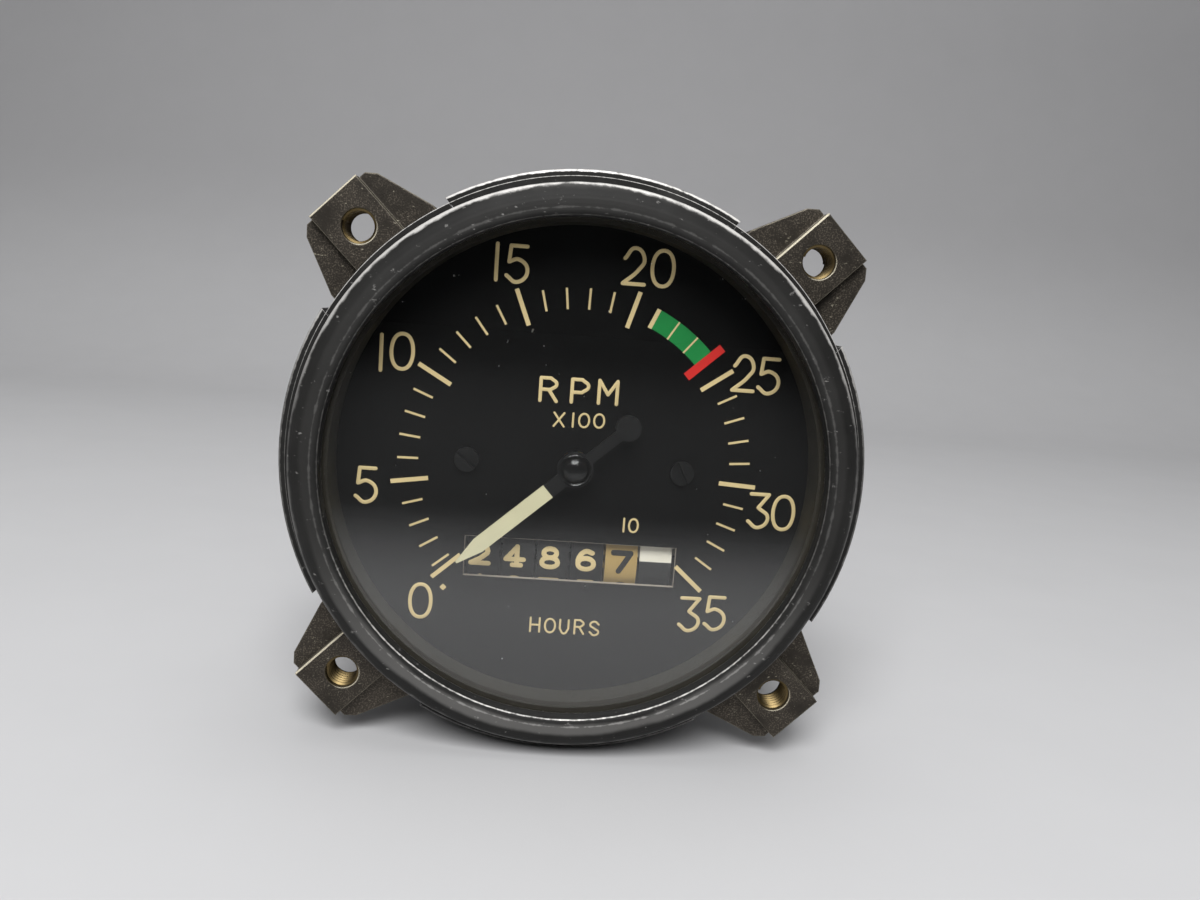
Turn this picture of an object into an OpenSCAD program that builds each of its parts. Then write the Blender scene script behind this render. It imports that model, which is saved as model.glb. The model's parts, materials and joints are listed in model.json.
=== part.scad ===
/* [Panel mount] */
// Diameter of the circle through the four lug holes
bolt_circle = 88.9; // [87:0.1:94]
// Diameter of each lug hole
lug_hole = 4.7; // [3.5:0.1:5.4]
// Width of a lug at its tip
lug_tip_width = 13; // [11:0.1:14]
// Width of a lug where it leaves the ring
lug_base_width = 18.6; // [16:0.1:20]
// Width of the raised pad on a lug
lug_pad_width = 8.4; // [7.4:0.1:10]
// Height of the pad above the web of its lug
lug_pad_rise = 1.5; // [0.8:0.1:1.8]
// Distance from the hole's centre to the lug's tip
lug_reach = 4.9; // [4:0.1:6]

/* [Bezel and glass] */
// Radius of the bezel where it goes through the panel
bezel_radius = 39.3; // [39:0.1:39.6]
// Radius of the rim behind the panel
rim_radius = 41.3; // [40.8:0.1:42]
// Radius of the opening in the bezel's lip
lip_radius = 34.8; // [34.4:0.1:35.4]
// How far the bezel's crest stands in front of the pads
bezel_front = 5.0; // [4.6:0.1:6]
// How far the bezel's outer edge stands in front of the pads
edge_front = 3.0; // [2.4:0.1:3.6]
// Width of the cut in the rim at each lug
notch_width = 22.5; // [21:0.1:24]
// Thickness of the cover glass
glass_thickness = 1.8; // [1.4:0.1:2]
// Thickness of the gasket under the glass
gasket_thickness = 0.6; // [0.4:0.1:0.8]

/* [Case] */
// Outer radius of the case
case_radius = 37.5; // [37.2:0.1:37.7]
// Thickness of the case's side wall
case_wall = 1.7; // [1.3:0.1:1.9]
// Distance from the pads to the outside of the back wall
case_depth = 65; // [63:0.1:75]
// Thickness of the back wall
back_wall = 2.5; // [2:0.1:3.5]
// Radius of the threaded drive boss
boss_radius = 11.11; // [10.5:0.01:12.5]
// Length of the thread on the drive boss
boss_length = 11.5; // [10:0.1:14]
// Radius of the cable bore in the drive boss
boss_bore = 7.5; // [6.5:0.1:8.5]
// Depth of the cable bore in the drive boss
bore_depth = 9.0; // [7:0.1:10]

/* [Dial and pointer] */
// Distance from the pads back to the front of the dial
dial_depth = 5.0; // [4.8:0.1:5.4]
// Thickness of the dial plate
dial_thickness = 0.8; // [0.6:0.1:1]
// Distance of each dial screw from the centre
dial_screw_x = 15.6; // [14.8:0.1:16.2]
// Width of the counter window
window_width = 31.2; // [30.6:0.1:31.8]
// Height of the counter window
window_height = 6.1; // [5:0.1:7]
// Sideways place of the window's centre
window_x = 0.3; // [0:0.1:0.5]
// Radius at the tip of the pointer
pointer_length = 21.6; // [19:0.1:23]
// Width of the pointer's blade
pointer_width = 2.2; // [1.6:0.1:2.8]
// Radius at the centre of the pointer's counterweight
tail_length = 9.6; // [8:0.1:11]
// Angle of the pointer at its stop, clockwise from straight up
pointer_rest = -132; // [-137:0.5:-128]

/* [Counter] */
// Radius of the number wheels
drum_radius = 8.0; // [7.8:0.05:8.2]
// Distance between neighbouring number wheels
drum_pitch = 5.1; // [5.05:0.01:5.15]
// Gap between neighbouring number wheels
drum_gap = 0.35; // [0.3:0.01:0.4]

/* [Movement] */
// Radius of the movement's two plates
plate_radius = 33; // [32:0.1:34]
// Thickness of the movement's two plates
plate_thickness = 2.0; // [1.6:0.1:2.2]
// Outer radius of the magnet
magnet_radius = 12.0; // [10:0.1:12.5]
// Length of the magnet
magnet_length = 9.5; // [7:0.1:11]
// Gap between the magnet and the drag cup
cup_gap = 0.7; // [0.4:0.1:1]
// Thickness of the drag cup's wall
cup_wall = 0.6; // [0.4:0.1:0.8]
// Thickness of the field ring's wall
field_wall = 2.0; // [1:0.1:2.6]
// Radius of the drive shaft's bearing end
journal_radius = 3.0; // [2.9:0.05:3.3]
// Radius of the drive shaft ahead of its bearing end
shaft_radius = 1.5; // [1.3:0.05:1.6]
// Radius of the two slow shafts
slow_radius = 1.2; // [1:0.05:1.3]

/* [Fits] */
// Clearance on the radius of turning shafts
running_gap = 0.03; // [0.02:0.005:0.05]
// Clearance on the radius of fixed pieces
seat_gap = 0.02; // [0.01:0.005:0.04]
// Play between the teeth of a meshing pair
tooth_play = 0.45; // [0.4:0.01:0.5]

/* [Hidden] */
$fn = 64;
small_fn = 32;
thin = 0.05;
past = 1;
far = 200;

// Levels of the case front, measured forward from the lug pads
pad_front = 0;
web_front = pad_front - lug_pad_rise;
rim_front = pad_front;
rim_back = -6;
shoulder = web_front + thin;
flange_back = -8;
glass_drop = 0.4;
glass_front = edge_front - glass_drop;
glass_back = glass_front - glass_thickness;
case_front = glass_back - gasket_thickness;

// Levels of the case back and of the drive boss
case_back = -case_depth;
case_floor = case_back + back_wall;
boss_flange = 2.5;
boss_flange_back = case_back - boss_flange;
boss_back = boss_flange_back - boss_length;
bore_floor = boss_back + bore_depth;

// Rings of the case and the bezel
bezel_bore = case_radius + thin;
glass_radius = bezel_bore - 0.3;
case_bore = case_radius - case_wall;
spacer_radius = case_bore - 0.1;
spacer_wall = 1.5;
spacer_bore = spacer_radius - spacer_wall;
dial_radius = case_bore - 0.3;
ring_step = 0.6;
ring_radius = bezel_radius - ring_step;
tube_radius = ring_radius + 2 * thin;
rim_chamfer = 0.3;

// Lugs of the mounting ring
lug_angles = [45, 135, 225, 315];
lug_places = [for (a = lug_angles) bolt_circle / 2 * [cos(a), sin(a), 0]];
lug_tip = bolt_circle / 2 + lug_reach;
lug_corner = 1.2;
lug_inside = bezel_bore + 0.25;
lug_shoulder = rim_radius - 1;
pad_start = bezel_radius + 0.4;
pad_past = 0.3;
pad_end = lug_tip + pad_past;
web_back = rim_back + thin;

// Drive boss and its screws
boss_neck = 9;
boss_flange_radius = 19.5;
boss_screw = 0.9;
boss_screw_head = 1.7;
boss_screw_height = 1.1;
boss_screw_hole = boss_screw + 0.1;
boss_screw_circle = 16.5;
boss_screw_angles = [45, 135, 225, 315];
boss_screw_places = [for (a = boss_screw_angles) boss_screw_circle * [cos(a), sin(a), 0]];

// Dial, its screws and posts, and the pointer's level
dial_front = -dial_depth;
dial_back = dial_front - dial_thickness;
dial_hole = 2.2;
dial_screw = 0.8;
dial_screw_head = 1.75;
dial_screw_height = 0.8;
dial_screw_length = 5;
dial_post = 2.0;
dial_screw_places = [for (s = [-1, 1]) [s * dial_screw_x, 0, 0]];
pointer_rise = 3.3;
pointer_level = dial_front + pointer_rise;
pointer_thickness = 0.4;
pointer_turn = 90 - pointer_rest;
cap_low = pointer_level + pointer_thickness;
staff_front = pointer_level + 1;

// Gears: module, teeth and pitch radii
gear_module = 0.6;
tip_part = 0.9;
root_part = 1.2;
flank_slope = tan(20);
lead = PI * gear_module;
tooth_half = lead / 4 - tooth_play / 4;
pinion_play = 0.08;
cross_teeth = 12;
upright_teeth = 30;
counter_teeth = 20;
pinion_teeth = 6;
drive_worm_radius = 3.2;
cross_worm_radius = 2.9;
upright_worm_radius = 3.2;
gear_face = 2.0;
worm_turns = 3.5;
worm_steps = 18;
worm_length = worm_turns * lead + 1.2;
thread_sink = 0.2;
function pitch_radius(teeth) = teeth * gear_module / 2;
drive_centres = pitch_radius(cross_teeth) + drive_worm_radius;
cross_centres = pitch_radius(upright_teeth) + cross_worm_radius;
upright_centres = pitch_radius(counter_teeth) + upright_worm_radius;
pinion_centres = pitch_radius(counter_teeth) - pitch_radius(pinion_teeth);

// Places of the slow shafts and of the counter
drum_clear = 0.5;
cross_y = drive_centres;
upright_y = cross_y - cross_centres;
counter_y = upright_y - upright_centres;
counter_z = dial_back - drum_clear - drum_radius;
cross_rise = 6;
cross_z = case_floor + cross_rise;
slow_end = 3;

// Counter wheels, from left to right
drum_count = 6;
drum_width = drum_pitch - drum_gap;
drum_half = drum_width / 2;
drum_web = 1.0;
drum_rim = 1.0;
drum_hub = 2.2;
web_end = -drum_half + drum_web;
axle_radius = 1.0;
axle_end = 0.6;
function drum_x(k) = window_x + (k - 3.5) * drum_pitch;
last_edge = drum_x(drum_count) + drum_half;
upright_x = last_edge + upright_worm_radius + tip_part * gear_module + 0.4;
upright_place = [upright_x, upright_y, 0];
wheel_left = upright_x - gear_face / 2;
carrier_left = drum_half - 0.375;
carrier_sheet = 0.4;
carrier_hub = 1.9;
carrier_arm = 0.9;
pinion_left = -0.9;
pinion_right = carrier_left - 0.3;
ring_gear_end = 0.5;
stub_radius = 0.5;
stub_end = 0.2;
carry_angles = [171, 189];
carry_inside = 5.5;
carry_size = [1.0, 0.8, 1.5];

// Counter frame and its screws
frame_left = drum_x(1) - drum_half - 1.2;
frame_right = upright_x + gear_face / 2 + 0.9;
frame_sheet = 0.8;
frame_half = 4.6;
frame_above = 3.6;
frame_foot = 6.9;
counter_screw = 0.7;
counter_screw_head = 1.2;
counter_screw_height = 0.7;
counter_screw_hole = counter_screw + 0.1;
counter_screw_drop = 5.6;
counter_screw_left = -12;
counter_screw_right = 8;
counter_screw_y = counter_y - counter_screw_drop;
counter_screw_places = [for (x = [counter_screw_left, counter_screw_right]) [x, counter_screw_y, 0]];

// Levels of the movement
front_plate_front = counter_z - drum_radius - 2.2;
front_plate_back = front_plate_front - plate_thickness;
rear_plate_rise = 12.5;
rear_plate_back = case_floor + rear_plate_rise;
rear_plate_front = rear_plate_back + plate_thickness;
cup_front = front_plate_back - 2.7;
cup_disc = 0.8;
staff_back = cup_front - 2.4;
magnet_front = staff_back + 0.6;
magnet_back = magnet_front - magnet_length;
cup_back = magnet_back;
jewel_front = staff_back - 0.6;
jewel_thickness = 1.6;
jewel_back = jewel_front - jewel_thickness;
shaft_front = jewel_back - 0.2;
journal_front = case_floor + 0.8;
washer_front = journal_front + 0.6;
shaft_back = bore_floor + 0.1;

// Radii of the movement's turned pieces
cup_bore = magnet_radius + cup_gap;
cup_radius = cup_bore + cup_wall;
field_gap = 0.6;
field_bore = cup_radius + field_gap;
field_radius = field_bore + field_wall;
staff_radius = 0.8;
pivot_radius = 0.3;
pivot_length = 1.8;
magnet_bore = 4.0;
magnet_flange = 7;
magnet_flange_thickness = 1.5;
hub_radius = 3.2;
bushing_radius = 5.0;
plate_bushing_radius = 3.5;
plate_bushing_stand = 0.5;
hub_back = rear_plate_front + plate_bushing_stand + 0.3;
washer_radius = 4.5;
front_jewel_radius = 2.5;
front_jewel_stand = 0.3;
drive_square = 3.8;
drive_socket = 5;

// Pillars, posts and their screws
pillar_circle = 27;
pillar_angles = [60, 180, 300];
pillar_places = [for (a = pillar_angles) pillar_circle * [cos(a), sin(a), 0]];
pillar_radius = 2.5;
post_radius = 3.0;
stud_radius = 1.2;
stud_length = 4.0;
plate_screw = 1.0;
plate_screw_head = 2.0;
plate_screw_height = 1.0;
plate_screw_grip = 5;
frame_screw = 1.2;
frame_screw_head = 2.2;
frame_screw_height = 1.4;
frame_screw_hole = frame_screw + 0.2;
frame_screw_grip = 4.5;
hole_end = 0.5;

// Brackets of the cross shaft
bracket_screw = 0.8;
bracket_screw_head = 1.5;
bracket_screw_height = 0.8;
bracket_screw_grip = 3;
bracket_sheet = 2.0;
bracket_half = 2.6;
bracket_left = -8;
bracket_right = upright_x + worm_length / 2 + 1.6;
bracket_places = [bracket_left, bracket_right];
bracket_screw_places = [for (x = bracket_places) [x + bracket_sheet / 2, cross_y, 0]];

// Hairspring, its collet and its stud
spring_level = front_plate_front + 1.3;
spring_height = 0.8;
spring_sheet = 0.25;
spring_start = 2.0;
spring_turns = 6;
spring_step = 0.83;
turn_steps = 20;
collet_stand = 0.4;
spring_end = spring_start + spring_turns * spring_step;
spring_stud_radius = 0.6;
spring_stud_place = [spring_end + spring_sheet / 2 + spring_stud_radius + 0.1, 0, 0];

// Stop pin and the arm that meets it
stop_radius = 0.5;
stop_circle = 4.2;
stop_arm_width = 0.9;
stop_arm_sheet = 0.8;
stop_arm_stand = 0.7;
stop_arm_length = stop_circle + 0.8;
stop_clear = 0.1;
stop_swing = asin((stop_radius + stop_arm_width / 2 + stop_clear) / stop_circle);
stop_angle = pointer_turn + stop_swing;
stop_place = stop_circle * [cos(stop_angle), sin(stop_angle), 0];
cup_hub_radius = 2.4;
cup_hub_height = 1.8;

// The model is drawn face up and stood so that the face looks along -Y
module stand() rotate([90, 0, 0]) children();

// A copy at each of a list of places
module at_each(places) for (p = places) translate(p) children();

// A ring between two levels
module ring(outer, inner, low, high, sides = $fn) {
    difference() {
        bar(outer, low, high, sides);
        hole(inner, low, high, sides);
    }
}

// A round bar between two levels
module bar(radius, low, high, sides = small_fn) {
    translate([0, 0, low]) cylinder(r = radius, h = high - low, $fn = sides);
}

// The cut for a hole through everything between two levels
module hole(radius, low, high, sides = small_fn) bar(radius, low - past, high + past, sides);

// Turns a piece drawn along Z so that it lies along X
module along_x() rotate([0, 90, 0]) children();

// A point at a radius, shifted sideways from the ray at an angle
function polar(radius, angle, side) = [
    radius * cos(angle) - side * sin(angle),
    radius * sin(angle) + side * cos(angle)
];

// Outline points of straight-sided teeth, one tooth centred on the X axis
function tooth_points(teeth, half_pitch, tip, root) = [
    for (i = [0 : teeth - 1])
    let (a = 360 / teeth * i)
    let (tip_half = half_pitch - tip_part * gear_module * flank_slope)
    let (root_half = half_pitch + root_part * gear_module * flank_slope)
    each [polar(root, a, -root_half), polar(tip, a, -tip_half),
        polar(tip, a, tip_half), polar(root, a, root_half)]
];
function gear_points(teeth, half_pitch) =
    let (tip = pitch_radius(teeth) + tip_part * gear_module)
    let (root = pitch_radius(teeth) - root_part * gear_module)
    tooth_points(teeth, half_pitch, tip, root);
function inside_points(teeth, half_pitch) =
    let (tip = pitch_radius(teeth) - tip_part * gear_module)
    let (root = pitch_radius(teeth) + root_part * gear_module)
    tooth_points(teeth, half_pitch, tip, root);

// A gear wheel about Z, its width centred on zero, with a hub and a bore
module gear_wheel(teeth, bore, hub, hub_low, hub_high, turn) {
    difference() {
        union() {
            translate([0, 0, -gear_face / 2])
            linear_extrude(height = gear_face)
            rotate(turn)
            polygon(gear_points(teeth, tooth_half));
            bar(hub, hub_low, hub_high);
        }
        hole(bore, hub_low - gear_face, hub_high + gear_face);
    }
}

// Cross-section points of a worm's thread at one step of its helix
function thread_ring(radius, contact, step, steps) =
    let (turn = worm_turns * (step / steps - 0.5))
    let (a = contact + 360 * turn)
    let (z = lead * turn)
    let (low = radius - root_part * gear_module - thread_sink)
    let (high = radius + tip_part * gear_module)
    let (low_half = tooth_half + (root_part * gear_module + thread_sink) * flank_slope)
    let (high_half = tooth_half - tip_part * gear_module * flank_slope)
    [[low * cos(a), low * sin(a), z - low_half],
     [high * cos(a), high * sin(a), z - high_half],
     [high * cos(a), high * sin(a), z + high_half],
     [low * cos(a), low * sin(a), z + low_half]];

// A right-hand worm about Z, its thread crossing zero at the contact angle
module worm(radius, bore, contact) {
    steps = ceil(worm_turns * worm_steps);
    points = [for (i = [0 : steps]) each thread_ring(radius, contact, i, steps)];
    sides = [
        for (i = [0 : steps - 1])
        for (j = [0 : 3])
        let (a = 4 * i + j)
        let (b = 4 * i + (j + 1) % 4)
        each [[a, b, b + 4], [a, b + 4, a + 4]]
    ];
    last = 4 * steps;
    ends = [[3, 2, 1], [3, 1, 0], [last, last + 1, last + 2], [last, last + 2, last + 3]];
    difference() {
        union() {
            polyhedron(points = points, faces = concat(sides, ends), convexity = 10);
            bar(radius - root_part * gear_module, -worm_length / 2, worm_length / 2);
        }
        hole(bore, -worm_length / 2, worm_length / 2);
    }
}

// A screw about Z with its head standing on the given level and its shank behind
module screw(head_radius, head_height, shank_radius, level, shank_length) {
    bar(head_radius, level, level + head_height);
    bar(shank_radius, level - shank_length, level + thin);
}

// Case: a deep cup with a flange behind the mounting ring
module case_shell() {
    color("dimgray")
    stand()
    difference() {
        union() {
            bar(case_radius, case_back, case_front, $fn);
            bar(ring_radius, flange_back, rim_back - thin, $fn);
        }
        bar(case_bore, case_floor, far, $fn);
        hole(boss_neck + seat_gap, case_back, case_floor, $fn);
        at_each(pillar_places) hole(frame_screw_hole, case_back, case_floor);
        at_each(boss_screw_places) hole(boss_screw_hole, case_back, case_floor);
    }
}

// Outline of one lug's web, pointing along X
module lug_outline() {
    tip_half = lug_tip_width / 2;
    base_half = lug_base_width / 2;
    polygon([[lug_inside, -base_half], [lug_shoulder, -base_half], [lug_tip - lug_corner, -tip_half],
        [lug_tip, -tip_half + lug_corner], [lug_tip, tip_half - lug_corner], [lug_tip - lug_corner, tip_half],
        [lug_shoulder, base_half], [lug_inside, base_half]]);
}

// Mounting ring: a flat ring with four lugs, each with a raised pad and a hole
module mounting_ring() {
    color("darkgoldenrod")
    stand()
    difference() {
        union() {
            bar(ring_radius, rim_back, web_front, $fn);
            for (a = lug_angles)
            rotate(a) {
                translate([0, 0, web_back])
                linear_extrude(height = web_front - thin - web_back)
                lug_outline();
                translate([pad_start, -lug_pad_width / 2, web_back + thin])
                cube([pad_end - pad_start, lug_pad_width, pad_front - web_back - thin]);
            }
        }
        hole(bezel_bore, rim_back, pad_front, $fn);
        at_each(lug_places) hole(lug_hole / 2, rim_back, pad_front);
    }
}

// Points on part of an ellipse
function arc_points(centre, across, along, from, to, steps) = [
    for (i = [0 : steps])
    let (a = from + (to - from) * i / steps)
    centre + [across * cos(a), along * sin(a)]
];

// Bezel: a rounded lip over the glass, a tube through the panel and a rim behind it
module bezel_ring() {
    lip_round = 0.7;
    crest_width = 0.9;
    crest_in = lip_radius + lip_round;
    crest_out = crest_in + crest_width;
    crest_rise = bezel_front - edge_front;
    lip_back = glass_front + thin;
    step_back = rim_front - thin;
    rim_inside = ring_radius + thin;
    lip_points = arc_points([crest_in, bezel_front - lip_round], lip_round, lip_round, 180, 90, 5);
    slope_points = arc_points([crest_out, edge_front], bezel_radius - crest_out, crest_rise, 90, 0, 8);
    color([0.09, 0.09, 0.09])
    stand() {
        rotate_extrude()
        polygon(concat([[lip_radius, lip_back]], lip_points, slope_points,
            [[bezel_radius, step_back], [tube_radius, step_back], [tube_radius, shoulder],
            [bezel_bore, shoulder], [bezel_bore, lip_back]]));
        difference() {
            rotate_extrude()
            polygon([[rim_inside, rim_back], [rim_radius, rim_back], [rim_radius, rim_front - rim_chamfer],
                [rim_radius - rim_chamfer, rim_front], [rim_inside, rim_front]]);
            for (a = lug_angles)
            rotate(a)
            translate([lug_inside, -notch_width / 2, rim_back - past])
            cube([rim_radius, notch_width, rim_front - rim_back + 2 * past]);
        }
    }
}

module glass_gasket() {
    color([0.15, 0.13, 0.12])
    stand()
    ring(glass_radius, case_bore, case_front, glass_back);
}

module cover_glass() {
    color([0.8, 0.88, 0.88, 0.3])
    stand()
    bar(glass_radius, glass_back, glass_front, $fn);
}

// Inner spacer: the dark band between the glass and the dial
module inner_spacer() {
    color([0.12, 0.12, 0.12])
    stand()
    ring(spacer_radius, spacer_bore, dial_front, glass_back - thin);
}

// Dial plate with the counter window, the staff's hole and two screw holes
module dial_plate() {
    color([0.06, 0.06, 0.06])
    stand()
    difference() {
        bar(dial_radius, dial_back, dial_front, $fn);
        hole(dial_hole, dial_back, dial_front);
        at_each(dial_screw_places) hole(dial_screw + 2 * thin, dial_back, dial_front);
        translate([window_x - window_width / 2, counter_y - window_height / 2, dial_back - past])
        cube([window_width, window_height, dial_thickness + 2 * past]);
    }
}

module dial_screws() {
    color([0.1, 0.1, 0.1])
    stand()
    at_each(dial_screw_places)
    screw(dial_screw_head, dial_screw_height, dial_screw, dial_front, dial_screw_length);
}

// Posts on the front plate that carry the dial
module dial_posts() {
    color("goldenrod")
    stand()
    at_each(dial_screw_places) {
        difference() {
            bar(dial_post, front_plate_front, dial_back);
            bar(dial_screw + seat_gap, dial_front - dial_screw_length - hole_end, far);
        }
        bar(stud_radius, front_plate_back, front_plate_front + thin);
    }
}

// The cut for a hole through the front plate
module front_hole(radius) hole(radius, front_plate_back, front_plate_front);

// Front plate of the movement
module front_plate() {
    color("lightgray")
    stand()
    difference() {
        bar(plate_radius, front_plate_back, front_plate_front, $fn);
        front_hole(front_jewel_radius + seat_gap);
        at_each(pillar_places) front_hole(plate_screw + 2 * thin);
        at_each(dial_screw_places) front_hole(stud_radius + seat_gap);
        at_each([upright_place]) front_hole(slow_radius + running_gap);
        at_each([spring_stud_place]) front_hole(spring_stud_radius + seat_gap);
        at_each([stop_place]) front_hole(stop_radius + seat_gap);
        at_each(counter_screw_places) front_hole(counter_screw + seat_gap);
    }
}

// The cut for a hole through the rear plate
module rear_hole(radius) hole(radius, rear_plate_back, rear_plate_front);

// Rear plate of the movement
module rear_plate() {
    color("lightgray")
    stand()
    difference() {
        bar(plate_radius, rear_plate_back, rear_plate_front, $fn);
        rear_hole(plate_bushing_radius + seat_gap);
        at_each(pillar_places) rear_hole(stud_radius + seat_gap);
        at_each([upright_place]) rear_hole(slow_radius + running_gap);
        at_each(bracket_screw_places) rear_hole(bracket_screw + seat_gap);
    }
}

// Pillars between the plates, each with a stud through the rear plate
module pillars() {
    color("goldenrod")
    stand()
    at_each(pillar_places) {
        difference() {
            bar(pillar_radius, rear_plate_front, front_plate_back);
            bar(plate_screw + seat_gap, front_plate_back - plate_screw_grip - hole_end, far);
        }
        bar(stud_radius, rear_plate_back - stud_length, rear_plate_front + thin);
    }
}

module pillar_screws() {
    shank = plate_thickness + plate_screw_grip;
    color("silver")
    stand()
    at_each(pillar_places)
    screw(plate_screw_head, plate_screw_height, plate_screw, front_plate_front, shank);
}

// Posts that hold the movement off the back wall of the case
module rear_posts() {
    color("goldenrod")
    stand()
    at_each(pillar_places)
    difference() {
        bar(post_radius, case_floor, rear_plate_back);
        bar(stud_radius + seat_gap, rear_plate_back - stud_length - hole_end, far);
        bar(frame_screw + seat_gap, case_floor - past, case_floor + frame_screw_grip + hole_end);
    }
}

// Screws from the back of the case into the posts
module frame_screws() {
    color("silver")
    stand()
    at_each(pillar_places) {
        bar(frame_screw_head, case_back - frame_screw_height, case_back);
        bar(frame_screw, case_back - thin, case_floor + frame_screw_grip);
    }
}

// Drive boss: a threaded stub with a flange, a neck in the back wall and a cable bore
module drive_boss() {
    color("gray")
    stand()
    difference() {
        union() {
            bar(boss_radius, boss_back, boss_flange_back + thin, $fn);
            bar(boss_flange_radius, boss_flange_back, case_back, $fn);
            bar(boss_neck, case_back - thin, case_floor, $fn);
        }
        bar(boss_bore, boss_back - past, bore_floor, $fn);
        bar(bushing_radius + seat_gap, bore_floor - past, far, $fn);
        at_each(boss_screw_places) hole(boss_screw_hole, boss_flange_back, case_back);
    }
}

// Screws from the back of the boss's flange into the case
module boss_screws() {
    color("silver")
    stand()
    at_each(boss_screw_places) {
        bar(boss_screw_head, boss_flange_back - boss_screw_height, boss_flange_back);
        bar(boss_screw, boss_flange_back - thin, case_floor);
    }
}

// Main bushing: the drive shaft's bearing in the boss
module main_bushing() {
    color("peru")
    stand()
    ring(bushing_radius, journal_radius + running_gap, bore_floor, journal_front - 0.3);
}

// Plate bushing: the drive shaft's bearing in the rear plate
module plate_bushing() {
    bushing_front = rear_plate_front + plate_bushing_stand;
    color("peru")
    stand()
    ring(plate_bushing_radius, shaft_radius + running_gap, rear_plate_back, bushing_front);
}

// Field ring: the steel return path round the drag cup
module field_ring() {
    color("slategray")
    stand()
    ring(field_radius, field_bore, cup_back, front_plate_back);
}

// Front jewel: the staff's bearing in the front plate
module front_jewel() {
    jewel_top = front_plate_front + front_jewel_stand;
    color("firebrick")
    stand()
    ring(front_jewel_radius, staff_radius + running_gap, front_plate_back, jewel_top, small_fn);
}

// Stud on the front plate that holds the outer end of the hairspring
module spring_stud() {
    color("goldenrod")
    stand()
    at_each([spring_stud_place])
    bar(spring_stud_radius, front_plate_back, spring_level + spring_height + 0.2);
}

// Pin behind the front plate that stops the pointer at rest
module stop_pin() {
    color("silver")
    stand()
    at_each([stop_place])
    bar(stop_radius, cup_front + 0.4, front_plate_front);
}

// Counter frame: a base on the front plate with an upright sheet at each end
module counter_frame() {
    base_low = counter_y - frame_foot;
    base_high = counter_y + frame_half;
    outer_left = frame_left - frame_sheet;
    outer_right = frame_right + frame_sheet;
    color("lightsteelblue")
    stand()
    difference() {
        union() {
            translate([outer_left, base_low, front_plate_front])
            cube([outer_right - outer_left, base_high - base_low, frame_sheet]);
            for (x = [outer_left, frame_right])
            translate([x, counter_y - frame_half, front_plate_front])
            cube([frame_sheet, 2 * frame_half, counter_z + frame_above - front_plate_front]);
        }
        translate([0, counter_y, counter_z])
        along_x()
        hole(axle_radius + seat_gap, outer_left, outer_right);
        at_each(counter_screw_places)
        hole(counter_screw_hole, front_plate_front, front_plate_front + frame_sheet);
    }
}

module counter_screws() {
    level = front_plate_front + frame_sheet;
    color("silver")
    stand()
    at_each(counter_screw_places)
    screw(counter_screw_head, counter_screw_height, counter_screw, level, frame_sheet + plate_thickness);
}

module counter_axle() {
    color("silver")
    stand()
    translate([0, counter_y, counter_z])
    along_x()
    bar(axle_radius, frame_left - frame_sheet - axle_end, frame_right + frame_sheet + axle_end);
}

// Carriers on the axle, each with a stub for the pinion between two number wheels
module pinion_carriers() {
    carrier_right = carrier_left + carrier_sheet;
    color("lightsteelblue")
    stand()
    for (k = [1 : drum_count - 1])
    translate([drum_x(k), counter_y, counter_z])
    along_x() {
        difference() {
            union() {
                bar(carrier_hub, carrier_left, carrier_right);
                translate([0, -carrier_arm, carrier_left])
                cube([pinion_centres, 2 * carrier_arm, carrier_sheet]);
                translate([pinion_centres, 0, 0])
                bar(carrier_arm, carrier_left, carrier_right);
            }
            hole(axle_radius + seat_gap, carrier_left, carrier_right);
        }
        translate([pinion_centres, 0, 0])
        bar(stub_radius, pinion_left - stub_end, carrier_left + thin);
    }
}

// Brackets on the rear plate that carry the cross shaft
module shaft_brackets() {
    bracket_back = cross_z - slow_end;
    screw_end = rear_plate_back - bracket_screw_grip - hole_end;
    color("lightsteelblue")
    stand()
    difference() {
        for (x = bracket_places)
        translate([x, cross_y - bracket_half, bracket_back])
        cube([bracket_sheet, 2 * bracket_half, rear_plate_back - bracket_back]);
        translate([0, cross_y, cross_z])
        along_x()
        hole(slow_radius + running_gap, bracket_places[0], bracket_places[1] + bracket_sheet);
        at_each(bracket_screw_places)
        bar(bracket_screw + seat_gap, screw_end, far);
    }
}

module bracket_screws() {
    shank = plate_thickness + bracket_screw_grip;
    color("silver")
    stand()
    at_each(bracket_screw_places)
    screw(bracket_screw_head, bracket_screw_height, bracket_screw, rear_plate_front, shank);
}

// Drive shaft with a square socket for the cable at its back end
module drive_shaft() {
    color("silver")
    stand()
    difference() {
        union() {
            bar(journal_radius, shaft_back, journal_front);
            bar(shaft_radius, journal_front - thin, shaft_front);
        }
        translate([-drive_square / 2, -drive_square / 2, shaft_back - past])
        cube([drive_square, drive_square, drive_socket + past]);
    }
}

module drive_worm() {
    color("slategray")
    stand()
    translate([0, 0, cross_z])
    worm(drive_worm_radius, shaft_radius + seat_gap, 90);
}

module magnet() {
    color("darkslategray")
    stand()
    ring(magnet_radius, magnet_bore + seat_gap, magnet_back, magnet_front);
}

// Magnet hub: a bush on the shaft with a flange behind the magnet
module magnet_hub() {
    color("darkkhaki")
    stand()
    difference() {
        union() {
            bar(hub_radius, hub_back, magnet_back);
            bar(magnet_flange, magnet_back - magnet_flange_thickness, magnet_back);
            bar(magnet_bore, magnet_back - thin, magnet_front);
        }
        hole(shaft_radius + seat_gap, hub_back, magnet_front);
    }
}

// Thrust washer: keeps the drive shaft off the worm's side of the back wall
module thrust_washer() {
    color("peru")
    stand()
    ring(washer_radius, shaft_radius + seat_gap, journal_front, washer_front, small_fn);
}

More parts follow.
